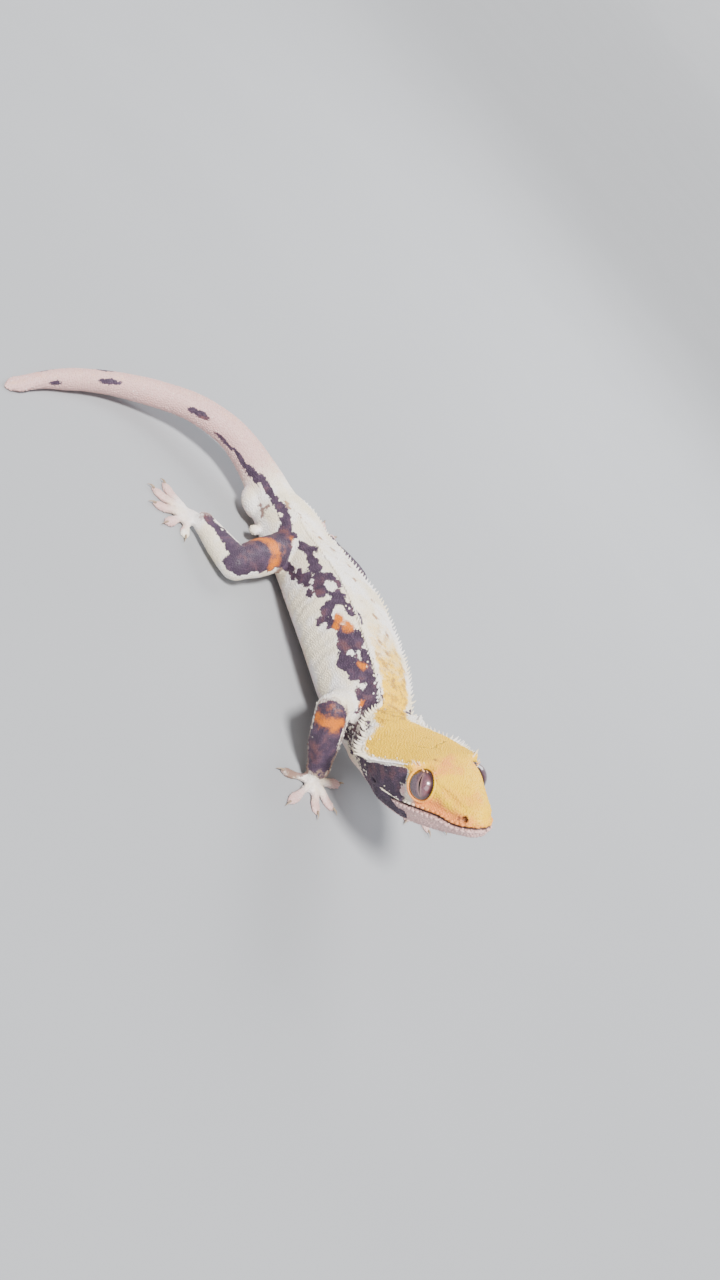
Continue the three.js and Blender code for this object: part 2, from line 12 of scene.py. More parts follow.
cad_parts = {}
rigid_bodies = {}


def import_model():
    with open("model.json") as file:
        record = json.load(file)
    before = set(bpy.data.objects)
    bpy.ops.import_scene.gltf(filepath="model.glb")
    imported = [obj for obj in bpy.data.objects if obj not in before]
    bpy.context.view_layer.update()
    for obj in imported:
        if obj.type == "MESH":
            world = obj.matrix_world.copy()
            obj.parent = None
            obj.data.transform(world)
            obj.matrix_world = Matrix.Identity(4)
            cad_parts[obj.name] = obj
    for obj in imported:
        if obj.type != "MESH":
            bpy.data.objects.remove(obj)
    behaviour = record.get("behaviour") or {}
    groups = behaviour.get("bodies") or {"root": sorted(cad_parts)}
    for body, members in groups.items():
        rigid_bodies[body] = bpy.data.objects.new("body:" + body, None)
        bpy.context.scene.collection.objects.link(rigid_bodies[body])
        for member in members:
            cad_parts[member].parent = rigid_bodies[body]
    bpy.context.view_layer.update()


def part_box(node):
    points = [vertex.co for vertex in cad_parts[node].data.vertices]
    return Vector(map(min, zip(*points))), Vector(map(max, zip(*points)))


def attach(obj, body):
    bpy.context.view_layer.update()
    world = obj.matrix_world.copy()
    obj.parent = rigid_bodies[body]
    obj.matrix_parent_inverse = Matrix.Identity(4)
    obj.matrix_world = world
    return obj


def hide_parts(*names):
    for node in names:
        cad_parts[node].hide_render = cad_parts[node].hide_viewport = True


bl_info = {
    "name": "Crested gecko",
    "version": (1, 0, 0),
    "blender": (4, 5, 0),
    "location": "3D View > Sidebar > Gecko",
    "description": "Skin, eyes, lids, crests, claws and scales of a life-size crested gecko",
    "category": "Object",
}

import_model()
MM = 0.001

# Places below are millimetres from the middle of the hips, as in the part's source:
# x forward along the pelvis, y to the animal's left, z up from the surface it lies on.


def profile(*pairs):
    """Smooth curve through pairs of place and value, with no overshoot."""
    x, y = np.array(pairs, float).T
    step = np.diff(x)
    rise = np.diff(y) / step
    slope = np.zeros_like(x)
    product = rise[:-1] * rise[1:]
    total = np.where(product > 0, rise[:-1] + rise[1:], 1)
    slope[1:-1] = np.where(product > 0, 2 * product / total, 0)

    def value(place):
        p = np.clip(place, x[0], x[-1])
        i = np.clip(np.searchsorted(x, p, side="right") - 1, 0, len(step) - 1)
        t = (p - x[i]) / step[i]
        return ((2 * t**3 - 3 * t**2 + 1) * y[i] + (t**3 - 2 * t**2 + t) * step[i] * slope[i]
                + (3 * t**2 - 2 * t**3) * y[i + 1] + (t**3 - t**2) * step[i] * slope[i + 1])

    return value


def bump(distance, width):
    """1 at no distance, falling off smoothly over the width."""
    return np.exp(-(np.asarray(distance) / width) ** 2)


def ease(value, low, high):
    """0 below low, 1 above high, smooth between."""
    t = np.clip((value - low) / (high - low), 0, 1)
    return t * t * (3 - 2 * t)


def unit(vectors):
    """Vectors of length 1."""
    return vectors / np.maximum(np.linalg.norm(vectors, axis=-1, keepdims=True), 1e-9)


def on_side(place, side):
    """A place or direction on the left for side 1, its mirror image for side -1."""
    return np.array(place) * (1, side, 1)


def ripple(points, size, seed=0):
    """Soft noise from -1 to 1 at points, its features about size across."""
    shift = 31.7 * seed
    return np.array([noise.noise((x / size + shift, y / size, z / size)) for x, y, z in points])


# Body axis: a place is millimetres forward of the hips, headings are degrees
TAIL = 102.0
TRUNK = 57.0
HEADING = profile((-100, 112), (-83, 103), (-64, 85), (-44, 57), (-34, 38), (-25, 22),
                  (-15, 9), (-5, 4), (6, -3), (18, -8), (40, -16), (57, -21))
HALF_WIDTH = profile((-102, 0.5), (-101, 1.4), (-98, 2.2), (-94, 2.0), (-84, 2.5), (-62, 3.3),
                     (-40, 4.0), (-22, 5.0), (-12, 6.3), (-4, 7.9), (4, 8.0), (14, 9.8),
                     (30, 11.8), (44, 11.5), (54, 10.0), (60, 8.7))
HALF_HEIGHT = profile((-102, 0.4), (-100, 0.9), (-97, 1.1), (-94, 1.5), (-84, 2.4), (-62, 3.2),
                      (-40, 3.9), (-22, 4.9), (-12, 6.2), (-4, 7.5), (4, 7.8), (14, 8.9),
                      (30, 10.0), (44, 9.9), (54, 9.0), (60, 8.2))
CLEARANCE = profile((-86, 0), (-76, 0.4), (-66, 1.4), (-56, 3.0), (-44, 5.4), (-34, 6.0),
                    (-22, 4.4), (-10, 1.6), (2, 0.6), (14, 1.2), (30, 2.2), (44, 3.0), (57, 4.6))
RIDGE_RISE = profile((-20, 0), (-10, 0.15), (0, 0.35), (57, 0.45))
SIDES = 72

STRIDE = 0.25
STRIDES = np.arange(-TAIL, TRUNK + 0.01, STRIDE)
TURNS = np.radians(HEADING(STRIDES[:-1] + STRIDE / 2))
AXIS_X = np.concatenate([[0], np.cumsum(STRIDE * np.cos(TURNS))])
AXIS_Y = np.concatenate([[0], np.cumsum(STRIDE * np.sin(TURNS))])
AXIS_X -= np.interp(0, STRIDES, AXIS_X)
AXIS_Y -= np.interp(0, STRIDES, AXIS_Y)


def axis_point(place):
    """The body axis at places."""
    return np.stack([np.interp(place, STRIDES, AXIS_X), np.interp(place, STRIDES, AXIS_Y),
                     CLEARANCE(place) + HALF_HEIGHT(place)], -1)


def body_frame(place):
    """Origin, forward, left and rise of the body's section at a place."""
    forward = unit(axis_point(min(place + 0.5, TRUNK)) - axis_point(max(place - 0.5, -TAIL)))
    left = unit(np.cross((0, 0, 1), forward))
    return axis_point(place), forward, left, np.cross(forward, left)


def body_section(place, grow, sides=SIDES):
    """Outline of the body at a place, from the belly up, as left and rise."""
    wide = HALF_WIDTH(place) + grow
    high = HALF_HEIGHT(place) + grow
    power = 2 / (2.3 if place > -12 else 2.05)
    angle = -math.pi / 2 + 2 * math.pi * np.arange(sides) / sides
    c, s = np.cos(angle), np.sin(angle)
    off = np.degrees(np.abs(np.arctan2(s, np.abs(c)) - math.radians(60))) / 9
    rise = RIDGE_RISE(place) * np.exp(-off**2)
    y = wide * np.sign(c) * np.abs(c) ** power + rise * c
    z = high * np.sign(s) * np.abs(s) ** power + rise * s
    return np.stack([y, z], -1)


def place_section(where, outline):
    """A flat outline set in space by its frame."""
    origin, _, left, rise = where
    return origin + outline[:, :1] * left + outline[:, 1:] * rise


# Head: x forward from the line of the rear crest corners
def turn_of(yaw, pitch, roll):
    """Rotation matrix: roll about x, then pitch about y, then yaw about z."""
    return np.array(Matrix.Rotation(yaw, 3, "Z") @ Matrix.Rotation(pitch, 3, "Y")
                    @ Matrix.Rotation(roll, 3, "X"))


HEAD_ORIGIN = np.array([73.8, -23.1, 24.2])
HEAD_TURN = turn_of(*np.radians([-21.2, -35.2, 27.5]))
HEAD_REAR = -7.0
HEAD_LENGTH = 27.5
EYE = (14.0, 5.7, 1.8)
EYE_RADIUS = 3.45
EYE_FACING = (0.53, 0.78, 0.33)
SLIT_UP = (-0.162, -0.274, 0.948)
EYE_APERTURE = (2.65, 3.3)
NOSTRIL = (25.0, 3.2, -1.4)
NOSTRIL_SPOT = (23.7, 3.8, -1.6)
EAR = (0.8, 9.2, -2.2)
SMUDGES = ((13.5, -3.5, 6.7), (14.9, 1.1, 6.4))
CROWN_HEIGHT = profile((-7, 7.2), (-3, 6.7), (4, 6.7), (12, 7.0), (16, 6.0), (20, 4.2),
                       (24, 2.3), (26.3, 0.9), (27.5, -1.2))
CREST_WIDTH = profile((-7, 7.4), (-4.5, 9.2), (-1.5, 11.3), (1, 11.5), (5, 10.5), (10, 9.0),
                      (13.5, 8.1), (17, 5.7), (21, 3.9), (24.5, 2.6), (26.4, 1.8), (27.2, 1.0),
                      (27.5, 0.4))
CREST_HEIGHT = profile((-7, 5.2), (-2, 3.5), (1, 3.4), (6, 4.3), (10, 5.2), (13.5, 6.0),
                       (17, 4.3), (21, 2.3), (25, 0.2), (27.5, -1.7))
CHEEK_WIDTH = profile((-7, 8.0), (-2, 9.0), (3, 9.4), (9, 8.9), (14, 7.6), (18, 6.1),
                      (22, 4.7), (25, 3.4), (26.6, 2.2), (27.3, 1.2), (27.5, 0.5))
LIP_WIDTH = profile((-7, 7.2), (0, 8.6), (5, 8.9), (10, 8.5), (15, 7.4), (20, 5.7),
                    (24, 4.1), (26, 2.9), (27.1, 1.6), (27.5, 0.6))
LIP_HEIGHT = profile((-7, -3.0), (4, -3.0), (9, -3.6), (20, -3.5), (27.5, -2.9))
MOUTH_HEIGHT = profile((4, -3.2), (9, -3.2), (15, -2.9), (19, -2.8), (23, -3.3), (27.5, -2.9))
JAW_HEIGHT = profile((-7, -7.0), (0, -8.3), (8, -8.4), (16, -7.5), (22, -6.4), (26, -5.4),
                     (27.5, -3.9))
# The head's outline has its throat at point 0, its left crest at 9 and the crown at 12; the
# left ridge of the body's back stands where a point 10 would be
HEAD_POINTS = 24
CROWN_POINT = 12
CREST_CORNER = 9
RIDGE_CORNER = 10


def head_place(points):
    """Points in the head's frame set in space."""
    return np.asarray(points) @ HEAD_TURN.T + HEAD_ORIGIN


def head_local(points):
    """Points in space seen in the head's frame."""
    return (points - HEAD_ORIGIN) @ HEAD_TURN


def head_section(x, grow):
    """Outline of the head at x in 24 points, from the throat up the left side."""
    chin, lip, lip_z, cheek = JAW_HEIGHT(x), LIP_WIDTH(x), LIP_HEIGHT(x), CHEEK_WIDTH(x)
    crest, crest_z, top = CREST_WIDTH(x), CREST_HEIGHT(x), CROWN_HEIGHT(x)
    span = crest_z - lip_z
    overhang = min(max(crest - cheek, 0), 2)
    half = [
        (0, chin), (0.45 * lip, chin + 0.1), (0.78 * lip, chin + 0.9),
        (0.95 * lip, lip_z - min(1.1, 0.45 * (lip_z - chin))), (lip, lip_z + 0.2),
        (cheek, lip_z + 0.25 * span), (cheek, lip_z + 0.5 * span),
        (cheek + 0.25 * overhang, crest_z - min(1.4, 0.25 * span)),
        (crest - 0.1, crest_z - min(0.5, 0.1 * span)), (crest, crest_z + 0.2),
        (0.82 * crest, crest_z + 0.45 * (top - crest_z)),
        (0.42 * crest, crest_z + 0.9 * (top - crest_z)), (0, top),
    ]
    outline = np.array(half + [(-y, z) for y, z in half[-2:0:-1]], float)
    reach = outline - (0, (chin + top) / 2)
    return outline + grow * reach / np.maximum(np.linalg.norm(reach, axis=1), 1)[:, None]


def finer(outline, times):
    """A closed outline with more points, smooth through its own."""
    before, here = np.roll(outline, 1, 0), outline
    after, later = np.roll(outline, -1, 0), np.roll(outline, -2, 0)
    steps = []
    for t in np.arange(times) / times:
        steps.append(0.5 * (2 * here + (after - before) * t
                            + (2 * before - 5 * here + 4 * after - later) * t**2
                            + (3 * here - before - 3 * after + later) * t**3))
    return np.stack(steps, 1).reshape(-1, 2)


def neck_end(grow):
    """The head's rear outline, shared out so that its crests meet the body's ridges."""
    outline = head_section(HEAD_REAR, grow)
    k = np.arange(SIDES) * HEAD_POINTS / SIDES
    up = np.minimum(k, HEAD_POINTS - k)
    past = (up - RIDGE_CORNER) / (CROWN_POINT - RIDGE_CORNER)
    at = np.where(up <= RIDGE_CORNER, up / RIDGE_CORNER * CREST_CORNER,
                  CREST_CORNER + past * (CROWN_POINT - CREST_CORNER))
    y, z = (np.interp(at, np.arange(CROWN_POINT + 1), column[:CROWN_POINT + 1])
            for column in outline.T)
    return np.stack([np.where(k <= CROWN_POINT, y, -y), z], -1)


NECK_START = body_frame(TRUNK)
NECK_TARGET = head_place((HEAD_REAR - 0.3, 0, 0))
NECK_REACH = float(np.linalg.norm(NECK_TARGET - NECK_START[0]))
NAPE_LIFT = np.array([0, 1.8, 1.5])


def neck_frame(t):
    """Frame of the neck's section, t from 0 at the shoulders to 1 at the head."""
    mix = t * t * (3 - 2 * t)
    p0, p3 = NECK_START[0], NECK_TARGET
    p1 = p0 + NECK_START[1] * NECK_REACH / 3 + NAPE_LIFT
    p2 = p3 - HEAD_TURN[:, 0] * NECK_REACH / 3 + NAPE_LIFT
    origin = ((1 - t) ** 3 * p0 + 3 * t * (1 - t) ** 2 * p1 + 3 * t**2 * (1 - t) * p2 + t**3 * p3)
    forward = unit((1 - mix) * NECK_START[1] + mix * HEAD_TURN[:, 0])
    left = (1 - mix) * NECK_START[2] + mix * HEAD_TURN[:, 1]
    left = unit(left - forward * np.dot(left, forward))
    return origin, forward, left, np.cross(forward, left)


def neck_section(t, grow):
    """Outline of the neck, turning from the body's into the head's."""
    mix = t * t * (3 - 2 * t)
    return (1 - mix) * body_section(TRUNK, grow) + mix * neck_end(grow)


def length_frame(place):
    """Frame of the section at a place on the body or, past the shoulders, on the neck."""
    return body_frame(place) if place <= TRUNK else neck_frame((place - TRUNK) / NECK_REACH)


def length_section(place, grow):
    """Outline at a place on the body or on the neck."""
    return (body_section(place, grow) if place <= TRUNK
            else neck_section((place - TRUNK) / NECK_REACH, grow))


# Limbs: joints in space, each toe's direction in degrees and its reach, and radii along lengths
ARMS = {
    "right": dict(joints=((51.0, -16.0, 11.5), (55.5, -28.4, 16.0), (63.2, -26.0, 4.4)),
                  palm=(65.0, -25.2, 1.2),
                  toes=((-112, 9.2), (-66, 11.8), (-20, 8.4), (26, 8.0), (88, 10.4))),
    "left": dict(joints=((54.0, -4.0, 11.0), (56.2, 8.6, 10.0), (67.0, 11.6, 4.4)),
                 palm=(69.6, 12.0, 1.2),
                 toes=((-54, 10.4), (-8, 9.8), (30, 11.0), (68, 11.2), (120, 9.4))),
}
LEGS = {
    "right": dict(joints=((2.5, -5.0, 7.6), (8.0, -23.8, 5.2), (-5.2, -26.6, 3.6)),
                  palm=(-8.6, -28.4, 1.4),
                  toes=((-166, 10.8), (-136, 11.0), (-106, 10.0), (-70, 8.8), (-28, 7.6))),
    "left": dict(joints=((2.5, 5.0, 7.6), (7.0, 22.0, 6.0), (-7.2, 21.8, 3.6)),
                 palm=(-10.8, 23.6, 1.4),
                 toes=((166, 10.8), (134, 11.0), (104, 10.0), (68, 8.8), (26, 7.6))),
}
ARM_RADII = ((4.4, 3.5), (3.9, 3.7, 2.9))
LEG_RADII = ((4.8, 4.8, 4.1), (4.1, 3.6, 2.8))
HAND = dict(palm_radius=3.3, size=0.95)
FOOT = dict(palm_radius=3.5, size=1.0)
TOE_WIDTH = profile((0, 1.2), (0.35, 1.05), (0.62, 1.45), (0.82, 1.32), (1, 0.4))
TOE_HEIGHT = profile((0, 1.2), (0.35, 1.0), (0.62, 0.8), (0.82, 0.8), (1, 0.4))
TOE_LIFT = profile((0, 1.3), (0.35, 1.0), (0.62, 0.55), (1, 0.45))
ARM_OUTSIDE = (0.62, 0.78, 0.05)
LEG_OUTSIDE = (0.05, 0.3, 0.95)
LENGTHS_PER_LIMB = 3
TOES_BELOW = 3.4
BULGE = 2.2
FAR = 99.0
EGGS = ((-14.4, 3.6, 2.6, (4.9, 3.6, 3.4)), (-6.8, 7.9, 4.2, (1.5, 1.8, 1.3)))


def limb_lengths():
    """Start, end, radii and flatness of every length of limb, by name."""
    lengths = {}
    for kind, limbs, radii, paw in (("arm", ARMS, ARM_RADII, HAND), ("leg", LEGS, LEG_RADII, FOOT)):
        for side, limb in limbs.items():
            a, b, c = (np.array(p) for p in limb["joints"])
            palm = np.array(limb["palm"])
            radius = paw["palm_radius"]
            lengths[f"{kind}_upper_{side}"] = (a, b, radii[0], 1.0)
            lengths[f"{kind}_lower_{side}"] = (b, c, radii[1], 1.0)
            lengths[f"{kind}_palm_{side}"] = (c, palm, (radius * 0.72, radius), 1.3 / radius)
    return lengths


def toe_list():
    """Root, direction, length and size of every toe, with its limb's name."""
    toes = []
    for kind, limbs, paw in (("arm", ARMS, HAND), ("leg", LEGS, FOOT)):
        for side, limb in limbs.items():
            for degrees, length in limb["toes"]:
                angle = math.radians(degrees)
                along = np.array([math.cos(angle), math.sin(angle), 0])
                start = np.array([limb["palm"][0], limb["palm"][1], 0])
                start = start + along * paw["palm_radius"] * 0.5
                toes.append((start, along, length - paw["palm_radius"] * 0.5, paw["size"],
                             f"{kind}_{side}"))
    return toes


def shift_to_row():
    """How far the part lies from the body's own frame, in millimetres, told by its right eye."""
    low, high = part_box("eye_right")
    centre = np.array((low + high) / 2) / MM
    return centre - head_place((EYE[0], -EYE[1], EYE[2]))


SHIFT = shift_to_row()


def to_row(points):
    """Millimetres in the body's frame as metres in the row's frame."""
    return (np.asarray(points) + SHIFT) * MM


# Mesh helpers
def ring_faces(count, sides, base=0):
    """Faces between rings of points, whose first point has the number base."""
    faces = []
    for r in range(count - 1):
        for k in range(sides):
            a, b = base + r * sides + k, base + r * sides + (k + 1) % sides
            faces.append((a, b, b + sides, a + sides))
    return faces


def loft(rings):
    """Vertices and faces of a closed skin through rings, with a fan at each end."""
    rings = np.asarray(rings)
    count, sides = rings.shape[:2]
    points = np.concatenate([rings.reshape(-1, 3), rings[0].mean(0)[None], rings[-1].mean(0)[None]])
    faces = ring_faces(count, sides)
    last = (count - 1) * sides
    for k in range(sides):
        faces.append(((k + 1) % sides, k, count * sides))
        faces.append((last + k, last + (k + 1) % sides, count * sides + 1))
    return points, faces


def tube(start, end, radii, grow, flatten, sides=28):
    """Rings of a limb's length, rounded at both ends."""
    radius_at = profile(*((i / (len(radii) - 1), r) for i, r in enumerate(radii)))
    forward = unit(end - start)
    side = unit(np.cross((0, 0, 1), forward))
    rise = np.cross(forward, side)
    shrinks = np.sin(np.linspace(0.06, math.pi / 2, 7))
    stations = [(0, e) for e in shrinks] + [(t, 1) for t in np.linspace(0, 1, 11)[1:-1]]
    stations += [(1, e) for e in shrinks[::-1]]
    angle = 2 * math.pi * np.arange(sides) / sides
    rings = []
    for t, shrink in stations:
        radius = radius_at(t) + grow
        push = math.sqrt(max(0, 1 - shrink**2)) * radius * (-1 if t < 0.5 else 1)
        origin = start + (end - start) * t + forward * push
        rings.append(origin + np.outer(np.cos(angle), side) * radius * shrink
                     + np.outer(np.sin(angle), rise) * radius * shrink * flatten)
    return rings


def toe_rings(root, along, length, size, grow):
    """Rings of a toe: narrow at its root, then the broad pad and the thin last joint."""
    across = np.array([-along[1], along[0], 0])
    angle = 2 * math.pi * (np.arange(20) + 0.5) / 20
    c, s = np.cos(angle), np.sin(angle)
    c = np.sign(c) * np.abs(c) ** 0.8
    s = np.sign(s) * np.abs(s) ** 0.8
    rings = []
    for t in np.linspace(0, 1, 22):
        origin = root + along * length * t
        origin[2] = TOE_LIFT(t) * size
        rings.append(origin + np.outer(c, across) * (TOE_WIDTH(t) * size + grow)
                     + np.outer(s, (0, 0, 1)) * (TOE_HEIGHT(t) * size + grow))
    return rings


def egg_rings(where, out, low, sizes, grow):
    """Rings of an egg beside and under the body's axis."""
    origin, forward, left, rise = where
    centre = origin + left * out - rise * low
    angle = 2 * math.pi * np.arange(24) / 24
    rings = []
    for turn in np.linspace(0.08, math.pi - 0.08, 14):
        rings.append(centre - forward * math.cos(turn) * (sizes[0] + grow)
                     + np.outer(np.cos(angle), left) * math.sin(turn) * (sizes[1] + grow)
                     + np.outer(np.sin(angle), rise) * math.sin(turn) * (sizes[2] + grow))
    return rings


def flesh(grow):
    """Rings of every closed length of flesh."""
    places = np.concatenate([np.arange(-TAIL, -96, 0.25), np.arange(-96, TRUNK, 1), [TRUNK]])
    trunk = [place_section(length_frame(p), length_section(p, grow)) for p in places]
    for t in np.linspace(0, 1, 13)[1:]:
        trunk.append(place_section(neck_frame(t), neck_section(t, grow)))
    inner = neck_frame(1)
    trunk.append(place_section((inner[0] + inner[1] * 2.5,) + inner[1:], neck_end(grow) * 0.85))
    stations = np.concatenate([np.arange(HEAD_REAR, 26, 0.5), np.arange(26, HEAD_LENGTH, 0.15),
                               [HEAD_LENGTH]])
    head = []
    for x in np.concatenate([[HEAD_REAR - 2.5], stations]):
        outline = finer(head_section(x, grow), 3) * (0.85 if x < HEAD_REAR else 1)
        head.append(head_place(np.column_stack([np.full(len(outline), x), outline])))
    parts = [trunk, head]
    for start, end, radii, flatten in limb_lengths().values():
        parts.append(tube(start, end, radii, grow, flatten))
    for root, along, length, size, _ in toe_list():
        parts.append(toe_rings(root, along, length, size, grow))
    for side in (-1, 1):
        for place, out, low, sizes in EGGS:
            parts.append(egg_rings(body_frame(place), side * out, low, sizes, grow))
    return parts


def new_object(name, points, faces):
    """A mesh object from points and faces."""
    mesh = bpy.data.meshes.new(name)
    mesh.from_pydata(np.asarray(points).tolist(), [], [tuple(f) for f in faces])
    mesh.validate()
    piece = bpy.data.objects.new(name, mesh)
    bpy.context.scene.collection.objects.link(piece)
    return piece


def select_only(*pieces):
    """Deselects everything else, and makes the first piece the active one."""
    for o in bpy.context.view_layer.objects:
        o.select_set(False)
    for piece in pieces:
        piece.select_set(True)
    bpy.context.view_layer.objects.active = pieces[0]


def face_outwards(piece, inside=False):
    """Turns the faces of a piece outwards, or inwards, and shades it smooth."""
    select_only(piece)
    bpy.ops.object.mode_set(mode="EDIT")
    bpy.ops.mesh.select_all(action="SELECT")
    bpy.ops.mesh.normals_make_consistent(inside=inside)
    bpy.ops.object.mode_set(mode="OBJECT")
    bpy.ops.object.shade_smooth()


def coordinates(mesh):
    """Vertices of a mesh as an array."""
    flat = np.empty(len(mesh.vertices) * 3)
    mesh.vertices.foreach_get("co", flat)
    return flat.reshape(-1, 3)


def normals(mesh):
    """Vertex normals of a mesh as an array."""
    flat = np.empty(len(mesh.vertices) * 3)
    mesh.vertex_normals.foreach_get("vector", flat)
    return flat.reshape(-1, 3)


def put_coordinates(mesh, points):
    """Moves the vertices of a mesh."""
    mesh.vertices.foreach_set("co", np.asarray(points, float).ravel())
    mesh.update()


def relax(mesh, strength, times, lift=0.0):
    """Smooths a mesh towards its neighbours' middles; lift gives back what it shrinks."""
    points = coordinates(mesh)
    edges = np.empty(len(mesh.edges) * 2, int)
    mesh.edges.foreach_get("vertices", edges)
    a, b = edges.reshape(-1, 2).T
    count = np.bincount(np.concatenate([a, b]), minlength=len(points))
    strength = np.broadcast_to(strength, len(points))[:, None]
    for _ in range(times):
        for amount in ((1, -lift) if lift else (1,)):
            total = np.stack([np.bincount(a, points[b, k], len(points))
                              + np.bincount(b, points[a, k], len(points)) for k in range(3)], -1)
            points = points + amount * strength * (total / count[:, None] - points)
    put_coordinates(mesh, points)


def on_body(points):
    """Places along and round the body, and the distance out of it."""
    stations = np.concatenate([np.arange(-TAIL, TRUNK + NECK_REACH, 1), [TRUNK + NECK_REACH]])
    frames = [length_frame(p) for p in stations]
    origins, forwards, lefts, rises = (np.array(column) for column in zip(*frames))
    tree = KDTree(len(stations))
    for i, origin in enumerate(origins):
        tree.insert(origin, i)
    tree.balance()
    near = np.array([tree.find(p)[1] for p in points])
    offset = points - origins[near]
    along = stations[near] + np.einsum("ij,ij->i", offset, forwards[near])
    y = np.einsum("ij,ij->i", offset, lefts[near])
    z = np.einsum("ij,ij->i", offset, rises[near])
    wide, high = HALF_WIDTH(along), HALF_HEIGHT(along)
    squash = (np.abs(y / wide) ** BULGE + np.abs(z / high) ** BULGE) ** (1 / BULGE)
    return dict(along=along, y=y, z=z, around=np.degrees(np.arctan2(z / high, np.abs(y) / wide)),
                trunk=(squash - 1) * np.minimum(wide, high))


def on_limbs(points):
    """Distance out of the nearest limb, and where on it: step counts its joints from 0 at the
    body to 3 at the palm's end, outer is 1 on its outside, kinds numbers the limb."""
    limb = np.full(len(points), FAR)
    step, outer = np.zeros((2, len(points)))
    kinds = np.zeros(len(points), int)
    for index, (start, end, radii, flatten) in enumerate(limb_lengths().values()):
        axis = end - start
        t = np.clip((points - start) @ axis / (axis @ axis), 0, 1)
        away = points - start - t[:, None] * axis
        radius = np.interp(t, np.linspace(0, 1, len(radii)), radii)
        kind, part = divmod(index, LENGTHS_PER_LIMB)
        outside = ARM_OUTSIDE if kind < 2 else LEG_OUTSIDE
        faced = away @ unit(on_side(outside, 1 if kind % 2 else -1)) / radius
        away[:, 2] /= flatten
        distance = np.linalg.norm(away, axis=1) - radius
        closer = distance < limb
        limb = np.where(closer, distance, limb)
        step = np.where(closer, part + t, step)
        outer = np.where(closer, faced, outer)
        kinds = np.where(closer, kind, kinds)
    return dict(limb=limb, step=step, kinds=kinds, outer=outer)


def on_toes(points):
    """Distance out of the nearest toe, and the place along it from 0 to 1."""
    toe = np.full(len(points), FAR)
    toe_step = np.zeros(len(points))
    for root, along, length, size, _ in toe_list():
        t = np.clip((points - root)[:, :2] @ along[:2] / length, 0, 1)
        flat = root + along * length * t[:, None]
        distance = np.linalg.norm((points - flat)[:, :2], axis=1) - TOE_WIDTH(t) * size
        toe_step = np.where(distance < toe, t, toe_step)
        toe = np.where((distance < toe) & (points[:, 2] < TOES_BELOW), distance, toe)
    return dict(toe=toe, toe_step=toe_step)


def anatomy(points):
    """Where points lie on the animal: places along and round the body, in the head and limbs."""
    a = on_body(points) | on_limbs(points) | on_toes(points)
    a["head"] = head_local(points)
    ahead = a["head"][:, 0]
    a["on_head"] = ease(ahead, HEAD_REAR - 2, HEAD_REAR + 3) * (a["along"] > TRUNK)
    nearer = a["trunk"] - np.minimum(a["limb"], a["toe"])
    a["on_limb"] = ease(nearer, -0.6, 0.9) * (1 - a["on_head"])
    return a


# Markings: (along, around, half length, half height) of soft blotches; along in millimetres
# forward of the hips, around in degrees above the middle of the flank
BAND = (
    (-27, -4, 4, 9), (-24, 2, 4, 10), (-20.5, 15, 3.4, 11), (-17.5, 30, 3, 12), (-14, 36, 3, 9),
    (-11, 36, 3, 9), (-7.3, 37, 3, 10), (-3.9, 34, 3, 11), (-0.6, 26, 3.2, 12), (3, 8, 3.4, 12),
    (2.5, 33, 2, 8), (7, 38, 2.4, 8), (9.8, 42, 2.2, 8), (10.4, 52, 1.6, 5), (13.5, 39, 2.2, 8),
    (16.5, 36, 2.4, 10), (8, -4, 3.2, 8), (12.3, 0, 3.2, 8), (15.8, 9, 2.8, 9), (18.6, 19, 2.6, 9),
    (20.8, 33, 2.8, 12), (24.3, 30, 2.8, 9), (23.6, 53, 2.2, 5), (26.5, 43, 2.4, 9),
    (21.5, 48, 1.8, 7), (23.2, 12, 1.4, 6), (29, 45, 3.2, 9), (32.4, 53, 2.6, 7),
    (30.3, 32, 2.2, 8), (31.2, 25, 2, 7), (33.4, 15, 2.2, 7), (34.6, 24, 2, 7), (35.4, 61, 2.4, 4),
    (36.5, 32, 2, 6), (39.6, 38, 2.8, 12), (43.4, 38, 3.2, 15), (41.6, 53, 2.8, 7),
    (46.4, 31, 3, 12), (47.8, 22, 2.2, 7), (50.6, 31, 2.6, 8), (51, 43, 3.2, 12), (48, 53, 3, 7),
    (53, 51, 2.8, 9), (56, 50, 2.8, 11), (59, 53, 3, 12), (62, 57, 3, 13), (57, 34, 2.2, 9),
    (61, 40, 3, 12),
)
PALE = ((24.4, 44, 1.5, 5), (32.6, 41, 1.6, 5), (45.7, 36.9, 1.0, 3.5), (34.6, 14, 0.9, 3),
        (-16.5, 18, 0.9, 4), (4.8, 27, 1.7, 7), (20.2, 24, 0.8, 3), (-5.2, 32, 0.6, 3))
AMBER = ((34.7, 37.5, 2.2, 7), (37.6, 44, 2.0, 7), (36.4, 30, 1.6, 5), (49.9, 44.4, 1.5, 6),
         (3.6, 25, 1.8, 7), (60, 30, 1.4, 6))
BACK_SPOTS = ((-8, 4.6), (-2.7, 3.9), (5.3, 1.2), (10.1, 0.2), (15.5, -1.6), (21.9, 1.0),
              (28, -1.5), (33.4, 0.3), (38, -2.2), (42, 1.8), (44.9, 0.9), (47.5, -0.8),
              (52.4, 0.4), (56, -1.6))
TAIL_SPOTS = ((-44.8, 20, 3.6, 14), (-71.4, 53, 3.4, 16), (-88, 30, 2.2, 14), (-34, -12, 4, 8))
HIP_RUST = ((-8.2, -3, 2.4, 12), (-12, 6, 2, 10), (-10, 14, 1.6, 8))
REAR_STREAK = ((-7, -5.0), (5.5, -1.2))
SPOT_RADIUS = 0.85
SPOTS_ABOVE = 50

